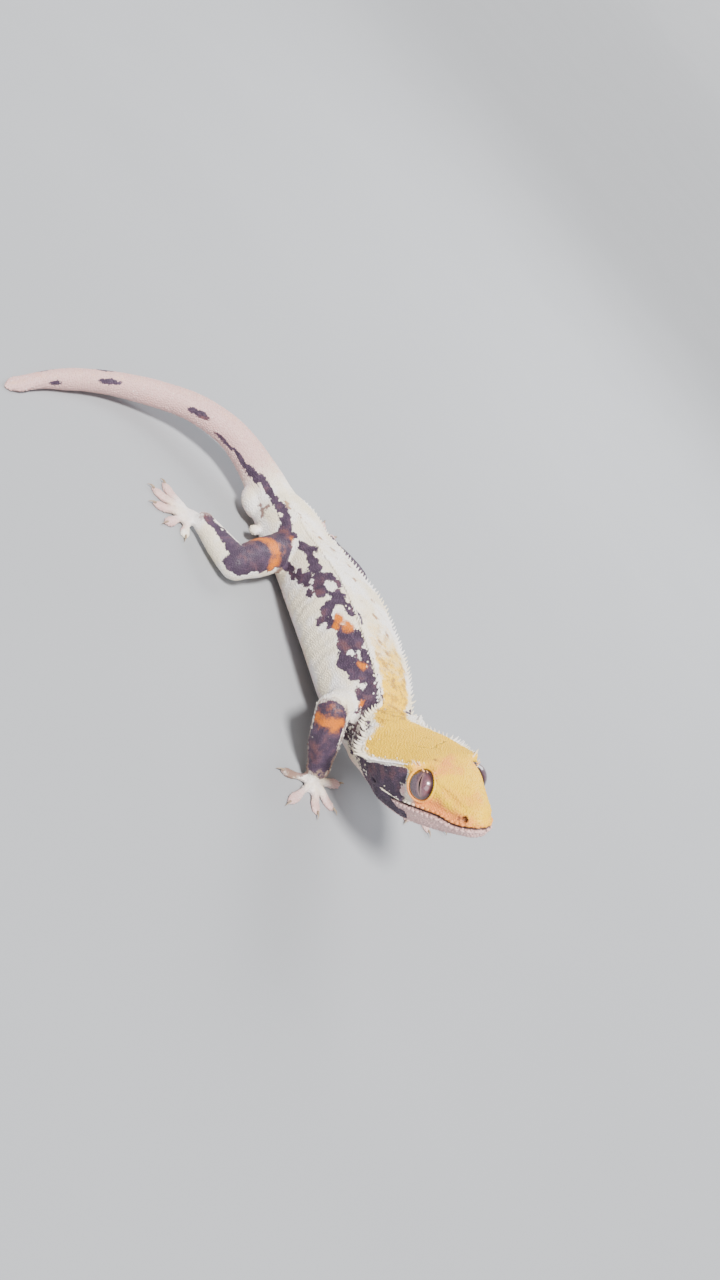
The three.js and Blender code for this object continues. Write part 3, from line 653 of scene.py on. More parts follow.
# Patches on the limbs: middle and half length, counted in joints from the body
ARM_AMBER = (1.13, 0.14)
THIGH_AMBER = (0.46, 0.13)
WRIST_RUST = (1.9, 0.25)
ELBOW_RUST = (0.92, 0.14)
ANKLE_RUST = (2.25, 0.32)
THIGH_RUST = (0.3, 0.12)

# Places on the head's side, as x and z in its own frame
BEHIND_EYE = (10.6, -0.4)
GREY_CHEEK = (6.5, 0.9)


def blotches(table, along, around):
    """Strongest soft blotch at each place on the body."""
    most = np.zeros(len(along))
    for place, height, length, width in table:
        away = np.hypot((along - place) / length, (around - height) / width)
        most = np.maximum(most, 1.25 * np.exp(-away**2.4 * 0.9))
    return most


def body_marks(points, a):
    """Fields of the body and tail: dark, amber and rust. The left side is the right side's
    pattern, shifted a little."""
    right = a["y"] < 0
    broad = ripple(points, 9.0, 5)
    along = a["along"] + 0.6 * ripple(points, 2.2, 1) + np.where(right, 0, 3.5 * broad)
    around = a["around"] + 4 * ripple(points, 1.8, 9) + np.where(right, 0, 6)
    dark = blotches(BAND, along, around) - 1.3 * blotches(PALE, along, around)
    dark = np.maximum(dark, blotches(TAIL_SPOTS, along, around))
    neck = ease(a["along"], 56, 63) * ease(around, -42, -22) * ease(-around, -62, -52)
    granules = ease(ripple(points, 1.9, 12), 0.3, 0.5)
    dark = np.maximum(dark, neck * (0.6 - 0.5 * granules * ease(-around, -40, -20)))
    low = ease(-np.abs(around + 16), -9, -2) * bump(a["along"] - 36, 14)
    dark = np.maximum(dark, low * 0.62 * ease(ripple(points, 3.2, 14), 0.3, 0.5))
    amber = blotches(AMBER, along, around)
    rust = blotches(HIP_RUST, along, around)
    rust *= 0.35 + 0.9 * ease(ripple(points, 1.4, 23), -0.1, 0.3)
    return dark, amber, rust


def back_marks(points, a):
    """Field of the brown spots down the back and of the thin streak at its rear."""
    (start, out), (end, end_out) = REAR_STREAK
    t = np.clip((a["along"] - start) / (end - start), 0, 1)
    off = np.hypot(a["along"] - start - (end - start) * t,
                   a["y"] - out - (end_out - out) * t + 0.25 * np.sin(20 * t))
    spots = 0.8 * bump(off, 0.3) * (a["z"] > 0) * ease(ripple(points, 2.2, 31), -0.35, 0.0)
    for place, right_of in BACK_SPOTS:
        away = np.hypot((a["along"] - place) / 1.35, a["y"] + right_of)
        spots += bump(away, SPOT_RADIUS) * (a["around"] > SPOTS_ABOVE)
    return spots


def patch(step, where):
    """1 in the middle of a patch on a limb, falling off along the limb."""
    return bump(step - where[0], where[1])


def limb_marks(points, a):
    """Fields of the legs and arms: dark, amber and rust."""
    step, outer = a["step"], a["outer"]
    arm = a["kinds"] < 2
    uneven = 0.4 * ripple(points, 1.7, 7) + 0.2 * ripple(points, 0.8, 8)
    arm_sleeve = ease(outer + 0.4 * uneven, 0.3, 0.5) * ease(step, 0.62, 0.85)
    leg_sleeve = ease(outer + 0.5 * uneven, 0.12, 0.36) * ease(-step, -2.08, -1.92)
    pale_shank = ease(step, 1.02, 1.2) * ease(-outer - 0.3 * uneven, -0.92, -0.72)
    sleeve = np.where(arm, arm_sleeve * ease(-step, -2.15, -1.85),
                      leg_sleeve * (1 - 0.92 * pale_shank))
    flecks = ease(ripple(points, 1.3, 17), 0.25, 0.45) * np.where(arm, 0.35, bump(step - 1.8, 0.4))
    dark = sleeve * (1.05 - 0.9 * flecks) * ease(a["toe"], -0.2, 0.7)
    amber = np.where(arm, patch(step, ARM_AMBER) * ease(outer, 0.1, 0.7),
                     patch(step - 0.16 * (1 - outer), THIGH_AMBER) * ease(outer, -0.1, 0.5))
    amber = amber * (0.95 + 1.1 * uneven)
    wrist_and_elbow = 0.75 * (patch(step, WRIST_RUST) + patch(step, ELBOW_RUST))
    arm_rust = (wrist_and_elbow * ease(outer, -0.1, 0.3)
                + 0.8 * ease(step, 1.0, 1.2) * bump(outer - 0.22, 0.16))
    leg_rust = patch(step, ANKLE_RUST) * ease(outer, 0.1, 0.6) + 0.9 * patch(step, THIGH_RUST)
    rust = np.where(arm, arm_rust, leg_rust)
    return dark, amber, rust * ease(-step, -2.7, -2.2)


def head_marks(a):
    """Fields of the head: crown, dark cheek, warm snout, pink lips and painted shade in its
    hollows.
    """
    points = a["head"]
    x, y, z = points.T
    lip = z - MOUTH_HEIGHT(x)
    bend = 0.4 * ripple(points, 2.5, 21)
    edge = CREST_HEIGHT(x) - 0.6 - 6.5 * ease(x, 10.8, 14.5)
    crown = ease(z + bend, edge - 0.4, edge + 0.4) * (lip > 0)
    from_crest = np.hypot(np.abs(y) - CREST_WIDTH(x), z - CREST_HEIGHT(x))
    rim = bump(from_crest, 0.75 + 0.6 * ease(-x, -4, 2)) * ease(-x, -12.5, -8)
    behind_eye = bump(np.hypot((x - BEHIND_EYE[0]) / 1.3, (z - BEHIND_EYE[1]) / 1.9), 0.8)
    grey = bump(np.hypot((x - GREY_CHEEK[0]) / 3, z - GREY_CHEEK[1]), 1.3)
    cheek = (1 - crown) * ease(-x + bend, -12.2, -10.4) * (1 - 0.9 * behind_eye)
    cheek *= np.where(lip > 0, 1.0, np.clip(ease(-lip, 1.4, 2.2) + ease(-x, -9.5, -6.5), 0, 1))
    cheek *= ease(z, JAW_HEIGHT(x) + 0.2, JAW_HEIGHT(x) + 2.0)
    not_corner = np.clip(ease(x, -7.5, -2.5) + ease(-np.abs(y), -6.5, -4.5), 0, 1)
    gold = crown * (1 - 0.8 * rim) * not_corner
    side_snout = ease(x, 11.5, 15) * ease(-z - 0.22 * (x - 16), -2.6, 1.0) * (lip > 0)
    blots = ease(ripple(points, 3.4, 25), -0.1, 0.5) * ease(x, 6, 14)
    peach = np.clip(side_snout + crown * (0.4 * bump(x - 14.5, 2.5) + 0.4 * blots), 0, 1)
    pink = np.maximum(0.95 * (lip < 0.1), 0.8 * ease(x, 12, 19) * ease(-lip, -2.2, -0.4))
    pink = np.maximum(pink, behind_eye)
    # Painted shade: darker colour along the mouth line, below the lips, in the nostrils and ears
    # and in the crown crease, where shade falls in the hollows.
    hollow = np.maximum(0.95 * mouth_line(x, y, z), 0.22 * ease(-lip, 1.5, 3.2))
    rust = 0.5 * sum(bump(np.linalg.norm(points - place, axis=1), 1.0)
                     for place in SMUDGES)
    for side in (-1, 1):
        for place, width, depth in ((NOSTRIL, 0.6, 1.6), (EAR, 0.8, 1.0)):
            away = np.linalg.norm(points - on_side(place, side), axis=1)
            hollow = np.maximum(hollow, depth * bump(away, width))
        away = np.linalg.norm(points - on_side(NOSTRIL_SPOT, side), axis=1)
        rust = np.maximum(rust, 0.75 * bump(away, 0.6))
    hollow = np.maximum(hollow, 0.55 * crown_crease(x, y, z))
    dark = np.clip(cheek * (1 - 0.85 * rim), 0, 1) * (1 - 0.15 * grey)
    return dark, gold, peach, pink, rust, hollow


def crown_crease(x, y, z):
    """1 along the fine fold across the crown, 0 away from it."""
    fold = 8.2 - np.where(y < -0.6, 1.4 * (-0.6 - y), 0.6 * (y + 0.6)) + 0.3 * np.sin(2 * y)
    return bump(x - fold, 0.3) * ease(y, -4.2, -2.8) * ease(-y, -7.5, -6) * (z > 3.5)


def markings(points):
    """Fields that the colours are mixed from, at points of the skin."""
    a = anatomy(points)
    head, limb = a["on_head"], a["on_limb"]
    trunk = (1 - limb) * (1 - head)
    dark_body, amber_body, rust_body = body_marks(points, a)
    dark_limb, amber_limb, rust_limb = limb_marks(points, a)
    dark_head, gold_head, peach, pink, rust_head, hollow = head_marks(a)
    top = ease(a["around"] + 4 * ripple(points, 1.5, 6), 60, 70)
    uneven = 0.2 * ripple(points, 2.0, 15)
    gold_body = top * (0.85 * ease(a["along"], 28, 64) + 0.16 + uneven * ease(a["along"], 20, 40))
    blush_body = np.maximum(0.95 * ease(-a["along"], 10, 28), 0.5 * ease(-a["around"], 15, 45))
    blush_limb = 0.85 * ease(a["step"], 2.1, 2.7) * (0.4 + 0.6 * ease(a["toe_step"], 0.1, 0.7))
    speck = top * ease(a["along"], -14, 4) * (0.3 + 0.45 * ease(a["along"], 30, 50))
    return dict(
        dark=dark_body * trunk + dark_limb * limb + dark_head * head,
        amber=amber_body * trunk + amber_limb * limb,
        gold=gold_body * trunk + gold_head * head,
        blush=blush_body * trunk + blush_limb * limb + pink * head,
        # Painted shade of the head's hollows, kept to the head
        hollow=hollow * head,
        speck=np.maximum(speck, 1.6 * back_marks(points, a)) * trunk + 0.3 * gold_head * head,
        peach=peach * head,
        rust=rust_body * trunk + rust_limb * limb + rust_head * head)


def lip_edge(x, y):
    """1 on the outside of the lips, 0 inside the head."""
    outer = ease(np.abs(y), LIP_WIDTH(x) - 2.2, LIP_WIDTH(x) - 1.2) + ease(x, 25.5, 26.5)
    return np.clip(outer, 0, 1)


def mouth_line(x, y, z):
    """1 along the line between the lips, 0 away from it."""
    return bump(z - MOUTH_HEIGHT(x), 0.3) * ease(x, 5.5, 8) * lip_edge(x, y)


# The tones attribute's first channel holds the painted shade of the head's hollows.
FIELDS = (("marks", ("dark", "amber", "gold", "blush")),
          ("tones", ("hollow", "speck", "peach", "rust")))


def put_fields(mesh, fields):
    """Stores the marking and painted shade fields on a mesh as two colour attributes."""
    for name, keys in FIELDS:
        attribute = mesh.attributes.new(name, "FLOAT_COLOR", "POINT")
        values = np.stack([np.asarray(fields[k], float) for k in keys], -1)
        attribute.data.foreach_set("color", np.clip(values, 0, 1.6).astype(np.float32).ravel())


# Shader terms
class Term:
    """A shader socket whose arithmetic adds Math nodes."""

    def __init__(self, shader, socket):
        self.shader, self.socket = shader, socket

    def math(self, operation, *values):
        """Another Math node on values."""
        return self.shader.node("ShaderNodeMath", {"operation": operation}, *values)

    def __add__(self, other):
        return self.math("ADD", self, other)

    def __sub__(self, other):
        return self.math("SUBTRACT", self, other)

    def __rsub__(self, other):
        return self.math("SUBTRACT", other, self)

    def __mul__(self, other):
        return self.math("MULTIPLY", self, other)

    def ease(self, low, high):
        """0 below low, 1 above high, smooth between."""
        return self.shader.node("ShaderNodeMapRange", {"interpolation_type": "SMOOTHSTEP"},
                                self, low, high, 0.0, 1.0)


class Shader:
    """A material and the nodes added to it."""

    def __init__(self, name, roughness=0.5, specular=0.5, coat=0.0, coat_roughness=0.1):
        self.material = bpy.data.materials.new(name)
        self.material.use_nodes = True
        self.tree = self.material.node_tree
        self.surface = self.tree.nodes["Principled BSDF"]
        self.set("Roughness", roughness)
        self.set("Specular IOR Level", specular)
        self.set("Coat Weight", coat)
        self.set("Coat Roughness", coat_roughness)

    def set(self, name, value):
        """Gives a socket of the surface a value or a link."""
        self.put(self.surface.inputs[name], value)

    def put(self, socket, value):
        """Gives any socket a value or a link."""
        if isinstance(value, Term):
            self.tree.links.new(value.socket, socket)
        else:
            socket.default_value = value

    def node(self, kind, settings=None, *values, output=0, **named):
        """Adds a node: its settings first, then its sockets in order and by name."""
        node = self.tree.nodes.new(kind)
        for key, value in (settings or {}).items():
            setattr(node, key, value)
        for i, value in enumerate(values):
            self.put(node.inputs[i], value)
        for name, value in named.items():
            self.put(node.inputs[name.replace("_", " ")], value)
        return Term(self, node.outputs[output])

    def fields(self, name):
        """The four fields of a colour attribute."""
        node = self.tree.nodes.new("ShaderNodeAttribute")
        node.attribute_name = name
        parts = self.tree.nodes.new("ShaderNodeSeparateColor")
        self.tree.links.new(node.outputs["Color"], parts.inputs["Color"])
        return [Term(self, s) for s in parts.outputs] + [Term(self, node.outputs["Alpha"])]

    def place(self):
        """Object coordinates."""
        return self.node("ShaderNodeTexCoord", output="Object")

    def noise(self, scale, detail=3.0, roughness=0.55, place=None):
        """Soft noise from 0 to 1."""
        return self.node("ShaderNodeTexNoise", None, Vector=place or self.place(), Scale=scale,
                         Detail=detail, Roughness=roughness)

    def mix(self, factor, a, b, blend="MIX"):
        """Colour a turned into colour b by a factor."""
        node = self.tree.nodes.new("ShaderNodeMix")
        node.data_type = "RGBA"
        node.blend_type = blend
        for socket, value in zip((node.inputs[0], node.inputs[6], node.inputs[7]), (factor, a, b)):
            self.put(socket, value)
        return Term(self, node.outputs[2])


def linear(colour):
    """A display colour as the four linear numbers that a socket holds."""
    parts = [c / 12.92 if c <= 0.04045 else ((c + 0.055) / 1.055) ** 2.4 for c in colour]
    return (*parts, 1.0)


def hide_shader(name, colours, grained):
    """The gecko's markings and the painted shade of its hollows, for its skin, scales and spines
    alike.
    """
    s = Shader(name, specular=0.4)
    dark, amber, gold, blush = s.fields("marks")
    hollow, speck, peach, rust = s.fields("tones")
    fine = s.noise(1500.0, 4.0)
    middle = s.noise(420.0, 3.0)
    edge = (middle - 0.5) * 0.9 + (fine - 0.5) * 0.6
    patches = s.noise(130.0, 3.0)
    colour = s.mix(patches.ease(0.38, 0.62), linear(colours.cream), linear(colours.white))
    colour = s.mix(blush.ease(0.1, 1.0), colour, linear(colours.blush))
    colour = s.mix((gold + edge * 0.35).ease(0.1, 0.85), colour, linear(colours.gold))
    warmth = (peach + (patches - 0.5) + edge * 0.4).ease(0.2, 1.1)
    colour = s.mix(warmth, colour, linear(colours.peach))
    dots = (s.noise(560.0, 2.0) + speck * 0.25).ease(0.64, 0.8)
    flecks = dots * speck.math("MINIMUM", speck, 1.0)
    colour = s.mix(flecks * 0.8, colour, linear(colours.tan))
    colour = s.mix((rust + edge).ease(0.3, 0.7) * 0.85, colour, linear(colours.rust))
    slate = s.mix(middle.ease(0.38, 0.68), linear(colours.slate), linear(colours.plum))
    slate = s.mix((patches + (middle - 0.5)).ease(0.5, 0.8) * 0.45, slate, linear(colours.rust))
    colour = s.mix((dark + edge).ease(0.42, 0.6), colour, slate)
    glow = (amber + edge * 1.2 + (patches - 0.5)).ease(0.25, 1.0)
    colour = s.mix(glow, colour, linear(colours.amber))
    # Painted shade: the head's hollows are darkened towards the shade colour.
    colour = s.mix(hollow.ease(0.12, 0.7) * 0.92, colour, linear(colours.hollow))
    shade = fine * 0.36 + 0.82
    grey = s.node("ShaderNodeCombineColor", None, shade, shade, shade)
    s.set("Base Color", s.mix(1.0, colour, grey, "MULTIPLY"))
    s.set("Roughness", fine * 0.18 + 0.42)
    if grained:
        grain = s.node("ShaderNodeTexVoronoi", None, Vector=s.place(), Scale=2600.0)
        relief = s.node("ShaderNodeBump", None, Strength=0.35, Distance=0.00012, Height=grain)
        s.set("Normal", relief)
    return s.material


# Settings that a user would change
def colour_property(name, default):
    """A colour with its name and default."""
    return FloatVectorProperty(name=name, description=f"{name} of the gecko", subtype="COLOR",
                               size=3, min=0, max=1, default=default)


def millimetres(name, default, description):
    """A size in millimetres."""
    return FloatProperty(name=name, description=description, default=default, min=0)


class GeckoSizes(bpy.types.PropertyGroup):
    """Sizes of the gecko's finer forms, in millimetres."""

    voxel: millimetres("Skin mesh step", 0.42, "Edge of the skin's mesh")
    coat_depth: millimetres("Coat depth", 0.12, "How deep the skin lies under the scales' tops")
    crest_spine: millimetres("Crest spine", 2.1, "Length of the spines at the head's rear corners")
    back_spine: millimetres("Back spine", 1.1, "Length of the spines down the back")
    lash_spine: millimetres("Brow spine", 2.0, "Length of the spines over each eye")
    spine_step: millimetres("Spine step", 1.05, "Distance from one crest spine to the next")
    scale_step: millimetres("Scale step", 0.5, "Distance from one body scale to the next")
    claw: millimetres("Claw", 1.5, "Length of a claw")
    seed: IntProperty(name="Seed", description="Seed of the small variations", default=11)


class GeckoColours(bpy.types.PropertyGroup):
    """Colours seen on the gecko."""

    cream: colour_property("Cream", (0.97, 0.92, 0.82))
    white: colour_property("White", (0.99, 0.97, 0.96))
    gold: colour_property("Crown yellow", (1.0, 0.80, 0.0))
    peach: colour_property("Peach", (0.98, 0.60, 0.30))
    amber: colour_property("Amber", (0.82, 0.45, 0.10))
    rust: colour_property("Rust", (0.46, 0.28, 0.24))
    blush: colour_property("Blush", (0.86, 0.70, 0.68))
    tan: colour_property("Tan", (0.62, 0.42, 0.18))
    slate: colour_property("Slate", (0.25, 0.19, 0.26))
    plum: colour_property("Plum", (0.33, 0.26, 0.34))
    # Colour of the painted shade in the mouth line, nostrils, ears, crown crease and under the lips
    hollow: colour_property("Painted shade", (0.16, 0.05, 0.05))
    iris: colour_property("Iris", (0.44, 0.33, 0.38))
    pupil: colour_property("Pupil", (0.02, 0.01, 0.01))
    claw: colour_property("Claw", (0.72, 0.62, 0.52))


def sizes_and_colours(context):
    """The scene's settings."""
    return context.scene.gecko_sizes, context.scene.gecko_colours


FLESH = ["head", "neck", "torso", "pelvis", "tail_base", "tail_middle", "tail_tip"] + [
    f"{part}_{side}" for side in ("right", "left")
    for part in ("upper_arm", "forearm", "hand", "thigh", "shank", "foot")]


GIVE_BACK = 1.04


def merged_flesh(sizes):
    """Every closed length of flesh merged into one even mesh."""
    points, faces = [], []
    for rings in flesh(-sizes.coat_depth):
        more, loops = loft(rings)
        base = sum(len(p) for p in points)
        points.append(more)
        faces += [tuple(i + base for i in f) for f in loops]
    skin = new_object("skin", np.concatenate(points), faces)
    face_outwards(skin)
    modifier = skin.modifiers.new("remesh", "REMESH")
    modifier.mode = "VOXEL"
    modifier.voxel_size = sizes.voxel
    bpy.ops.object.modifier_apply(modifier=modifier.name)
    return skin


class GECKO_OT_skin(bpy.types.Operator):
    """One skin over the whole body, with its folds, mouth, nostrils and ears"""

    bl_idname = "gecko.skin"
    bl_label = "Skin"

    def execute(self, context):
        sizes, colours = sizes_and_colours(context)
        skin = merged_flesh(sizes)
        mesh = skin.data
        relax(mesh, 0.5, 6, GIVE_BACK)
        soften_joints(mesh)
        refine_head(mesh)
        relax(mesh, 0.4, 3, GIVE_BACK)
        shape_skin(mesh)
        put_fields(mesh, markings(coordinates(mesh)))
        put_coordinates(mesh, to_row(coordinates(mesh)))
        bpy.ops.object.mode_set(mode="EDIT")
        bpy.ops.mesh.select_all(action="SELECT")
        bpy.ops.uv.smart_project(angle_limit=math.radians(70), island_margin=0.002)
        bpy.ops.object.mode_set(mode="OBJECT")
        mesh.uv_layers[0].name = "OFBake"
        bpy.ops.object.shade_smooth()
        mesh.materials.append(hide_shader("gecko_skin", colours, True))
        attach(skin, "root")
        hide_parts(*FLESH)
        return {"FINISHED"}


def soften_joints(mesh):
    """Lets each limb flow into the body, and each toe into its palm."""
    a = anatomy(coordinates(mesh))
    limb = np.minimum(a["limb"], a["toe"])
    near = bump(a["trunk"] - limb, 1.5) * (np.maximum(a["trunk"], limb) < 2.5)
    knee = bump(np.abs(a["step"] - 1), 0.18) * a["on_limb"]
    neck = bump(a["head"][:, 0] - HEAD_REAR, 2.5) * (a["along"] > TRUNK)
    toes = bump(a["toe_step"], 0.16) * (a["toe"] < 1) * a["on_limb"]
    strength = np.maximum.reduce([near, 0.7 * knee, 0.6 * neck, 0.5 * toes])
    relax(mesh, np.clip(strength, 0, 1) * 0.6, 14)


def refine_head(mesh):
    """Splits the faces of the head once, for its finer forms."""
    a = anatomy(coordinates(mesh))
    fine = (a["on_head"] > 0.5) & (a["on_limb"] < 0.4) & (a["head"][:, 0] > -4)
    work = bmesh.new()
    work.from_mesh(mesh)
    work.verts.ensure_lookup_table()
    edges = [e for e in work.edges if fine[e.verts[0].index] and fine[e.verts[1].index]]
    bmesh.ops.subdivide_edges(work, edges=edges, cuts=1, use_grid_fill=True, smooth=0.0)
    work.to_mesh(mesh)
    work.free()


def shape_skin(mesh):
    """Folds, muscles, mouth, nostrils, ears and the sockets of the eyes."""
    points, outward = coordinates(mesh), normals(mesh)
    a = anatomy(points)
    x, y, z = a["head"].T
    head = a["on_head"]
    d = z - MOUTH_HEIGHT(x)
    lips = ease(x, 5, 9) * lip_edge(x, y) * head
    move = 0.16 * ripple(points, 7.0, 3) + 0.05 * ripple(points, 1.6, 4)
    move *= 1 - 0.6 * head
    move -= 0.55 * mouth_line(x, y, z) * head
    move += 0.16 * lips * (bump(d - 0.75, 0.45) + bump(d + 0.75, 0.45))
    move -= 0.18 * lips * bump(d - 1.7, 0.5)
    for side in (-1, 1):
        nostril = np.linalg.norm((a["head"] - on_side(NOSTRIL, side)) / (0.8, 1, 1.2), axis=1)
        ear = np.linalg.norm((a["head"] - on_side(EAR, side)) / (1.0, 1.0, 0.65), axis=1)
        move += head * (0.14 * bump(nostril - 0.95, 0.3) - 0.7 * bump(nostril, 0.5))
        move += head * (0.18 * bump(ear - 1.3, 0.4) - 1.1 * bump(ear, 0.7))
        crest = np.hypot(np.abs(y) - CREST_WIDTH(x), z - CREST_HEIGHT(x)) + 9 * (y * side < 0)
        move += head * 0.18 * bump(crest, 0.8)
    move -= 0.14 * crown_crease(x, y, z) * head
    behind = a["along"] - TRUNK
    folds = bump(behind - 4 + 0.05 * a["around"], 1.0) + bump(behind - 8, 0.9)
    move -= 0.22 * folds * (1 - head) * ease(-a["around"], -50, 0)
    flank = bump(a["around"], 35) * ease(a["along"], 12, 18) * (1 - ease(a["along"], 46, 52))
    move += 0.1 * flank * np.sin(a["along"] * 1.9 + 2 * ripple(points, 6.0, 6)) * (1 - a["on_limb"])
    points = points + outward * move[:, None]
    points, near_eye = shape_sockets(points, head)
    put_coordinates(mesh, points)
    relax(mesh, 0.5 * near_eye, 4)
    points = coordinates(mesh)
    points[:, 2] = np.maximum(points[:, 2], 0.03)
    put_coordinates(mesh, points)


SOCKET_REACH = 2.5
SOCKET_DEPTH = 0.35
RIM_PLACE = 1.16
RIM_LIFT = 0.28


def shape_sockets(points, head):
    """Skin points drawn back from the front of each eye and lifted into a rim round it."""
    local = head_local(points)
    near_eye = np.zeros(len(points))
    for side in (-1, 1):
        turn = head_matrix(side)
        away = (local - on_side(EYE, side)) @ turn
        distance = np.linalg.norm(away, axis=1)
        across = unit(away) * EYE_RADIUS
        ring = np.hypot(across[:, 0] / EYE_APERTURE[0], across[:, 1] / EYE_APERTURE[1])
        front = (away[:, 2] > 0) & (head > 0.3) & (distance < EYE_RADIUS + SOCKET_REACH)
        cover = EYE_RADIUS + 0.1 + RIM_LIFT * bump(ring - RIM_PLACE, 0.14)
        lifted = np.maximum(distance, cover)
        sunk = np.minimum(distance, EYE_RADIUS - SOCKET_DEPTH)
        target = sunk + (lifted - sunk) * ease(ring, 0.96, 1.04)
        target = np.where(front, target, distance)
        side_wall = ~front & (distance < EYE_RADIUS + 0.15) & (head > 0.3)
        target = np.where(side_wall & (away[:, 2] > -2), EYE_RADIUS + 0.12, target)
        near_eye = np.maximum(near_eye, bump(ring - 1.5, 0.28) * front)
        local += (away * ((target / np.maximum(distance, 0.1))[:, None] - 1)) @ turn.T
    return np.where(head[:, None] > 0.3, head_place(local), points), near_eye


def head_matrix(side):
    """Turns a piece made round +Z at the eye into the head's frame, its slit along +Y."""
    facing = unit(on_side(EYE_FACING, side))
    lift = on_side(SLIT_UP, side)
    lift = unit(lift - facing * np.dot(lift, facing))
    return np.stack([np.cross(lift, facing), lift, facing], -1)


def eye_place(points, side):
    """Points round an eye, facing +Z with the slit along +Y, set in the body's frame."""
    return head_place(points @ head_matrix(side).T + on_side(EYE, side))


class GECKO_OT_eyes(bpy.types.Operator):
    """Both eyes, each with its iris, its slit and a wet surface"""

    bl_idname = "gecko.eyes"
    bl_label = "Eyes"

    def execute(self, context):
        material = eye_shader(context.scene.gecko_colours)
        for name, side in (("right", -1), ("left", 1)):
            bpy.ops.object.select_all(action="DESELECT")
            bpy.ops.mesh.primitive_uv_sphere_add(segments=96, ring_count=64, radius=EYE_RADIUS)
            eye = context.active_object
            eye.name = f"eyeball_{name}"
            mesh = eye.data
            points = coordinates(mesh)
            facing = points[:, 2] / EYE_RADIUS
            points[:, 2] += 0.1 * ease(facing, 0.45, 1.0)
            disc = points[:, :2] / EYE_RADIUS
            values = np.column_stack([disc, facing]).astype(np.float32)
            attribute = mesh.attributes.new("disc", "FLOAT_VECTOR", "POINT")
            attribute.data.foreach_set("vector", values.ravel())
            put_coordinates(mesh, to_row(eye_place(points, side)))
            face_outwards(eye)
            mesh.materials.clear()
            mesh.materials.append(material)
            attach(eye, "root")
            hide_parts(f"eye_{name}")
        return {"FINISHED"}


SLIT_EDGE = (0.72, 0.55, 0.5)
IRIS_PINK = (0.58, 0.32, 0.33)
IRIS_RIM = (0.17, 0.06, 0.08)


def eye_shader(colours):
    """Iris with veins, a notched slit and a maroon rim, under a wet coat."""
    s = Shader("gecko_eye", roughness=0.25, coat=1.0, coat_roughness=0.03)
    place = s.node("ShaderNodeAttribute", {"attribute_name": "disc"}, output="Vector")
    parts = s.tree.nodes.new("ShaderNodeSeparateXYZ")
    s.tree.links.new(place.socket, parts.inputs[0])
    x, y = Term(s, parts.outputs["X"]), Term(s, parts.outputs["Y"])
    across, tall = (size / EYE_RADIUS for size in EYE_APERTURE)
    radius = place.math("SQRT", (x * x) * across**-2 + (y * y) * tall**-2)
    notches = s.noise(7.0, 4.0, 0.7, s.node("ShaderNodeCombineXYZ", None, x * 0.3, y * 2.4, 0.0))
    middle = x + y * 0.1 - (y * y) * 0.18
    slit = x.math("ABSOLUTE", middle)
    width = (1 - (y * y) * 2.6) * 0.055 + (notches - 0.5) * 0.06
    pupil = (width - slit).ease(-0.012, 0.02)
    veins = s.noise(5.0, 6.0, 0.8, s.node("ShaderNodeCombineXYZ", None, x * 4.5, y * 1.6, 0.0))
    deep = linear([c * 0.6 for c in colours.iris])
    iris = s.mix(veins.ease(0.4, 0.6), deep, linear(colours.iris))
    pale = linear([min(1, c * 1.4) for c in colours.iris])
    iris = s.mix(veins.ease(0.56, 0.72) * 0.7, iris, pale)
    iris = s.mix((slit - width).ease(0.16, 0.0) * 0.4, iris, linear(SLIT_EDGE))
    iris = s.mix(x.ease(-0.05, 0.6) * 0.5, iris, linear(IRIS_PINK))
    iris = s.mix((radius + (veins - 0.5) * 0.2).ease(0.62, 0.9), iris, linear(IRIS_RIM))
    s.set("Base Color", s.mix(pupil, iris, linear(colours.pupil)))
    return s.material


BAKE_PATCH = 0.003


def stamp(name, template, faces, roots, turns, scales, uv, fields, material):
    """Copies of one small shape on the skin, joined into a piece. Each has its own patch at
    its root's place on the skin's unwrap."""
    count, size = len(roots), len(template)
    local = template[None] * scales[:, None, :]
    points = np.einsum("nij,nkj->nki", turns, local) + roots[:, None]
    mesh = bpy.data.meshes.new(name)
    loops = np.concatenate([np.array(f) for f in faces])
    lengths = np.array([len(f) for f in faces])
    mesh.vertices.add(count * size)
    mesh.vertices.foreach_set("co", to_row(points.reshape(-1, 3)).ravel())
    all_loops = (loops[None] + size * np.arange(count)[:, None]).ravel()
    mesh.loops.add(len(all_loops))
    mesh.loops.foreach_set("vertex_index", all_loops)
    totals = np.tile(lengths, count)
    mesh.polygons.add(len(totals))
    mesh.polygons.foreach_set("loop_start", np.concatenate([[0], np.cumsum(totals)[:-1]]))
    mesh.update(calc_edges=True)
    patch = template[:, :2] / np.abs(template[:, :2]).max() * BAKE_PATCH / 2
    layer = mesh.uv_layers.new(name="OFBake")
    spread = (uv[:, None] + patch[loops][None]).reshape(-1, 2)
    layer.data.foreach_set("uv", spread.astype(np.float32).ravel())
    put_fields(mesh, {k: np.repeat(v, size) for k, v in fields.items()})
    mesh.polygons.foreach_set("use_smooth", np.ones(len(totals), bool))
    mesh.materials.append(material)
    piece = bpy.data.objects.new(name, mesh)
    bpy.context.scene.collection.objects.link(piece)
    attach(piece, "root")
    return piece


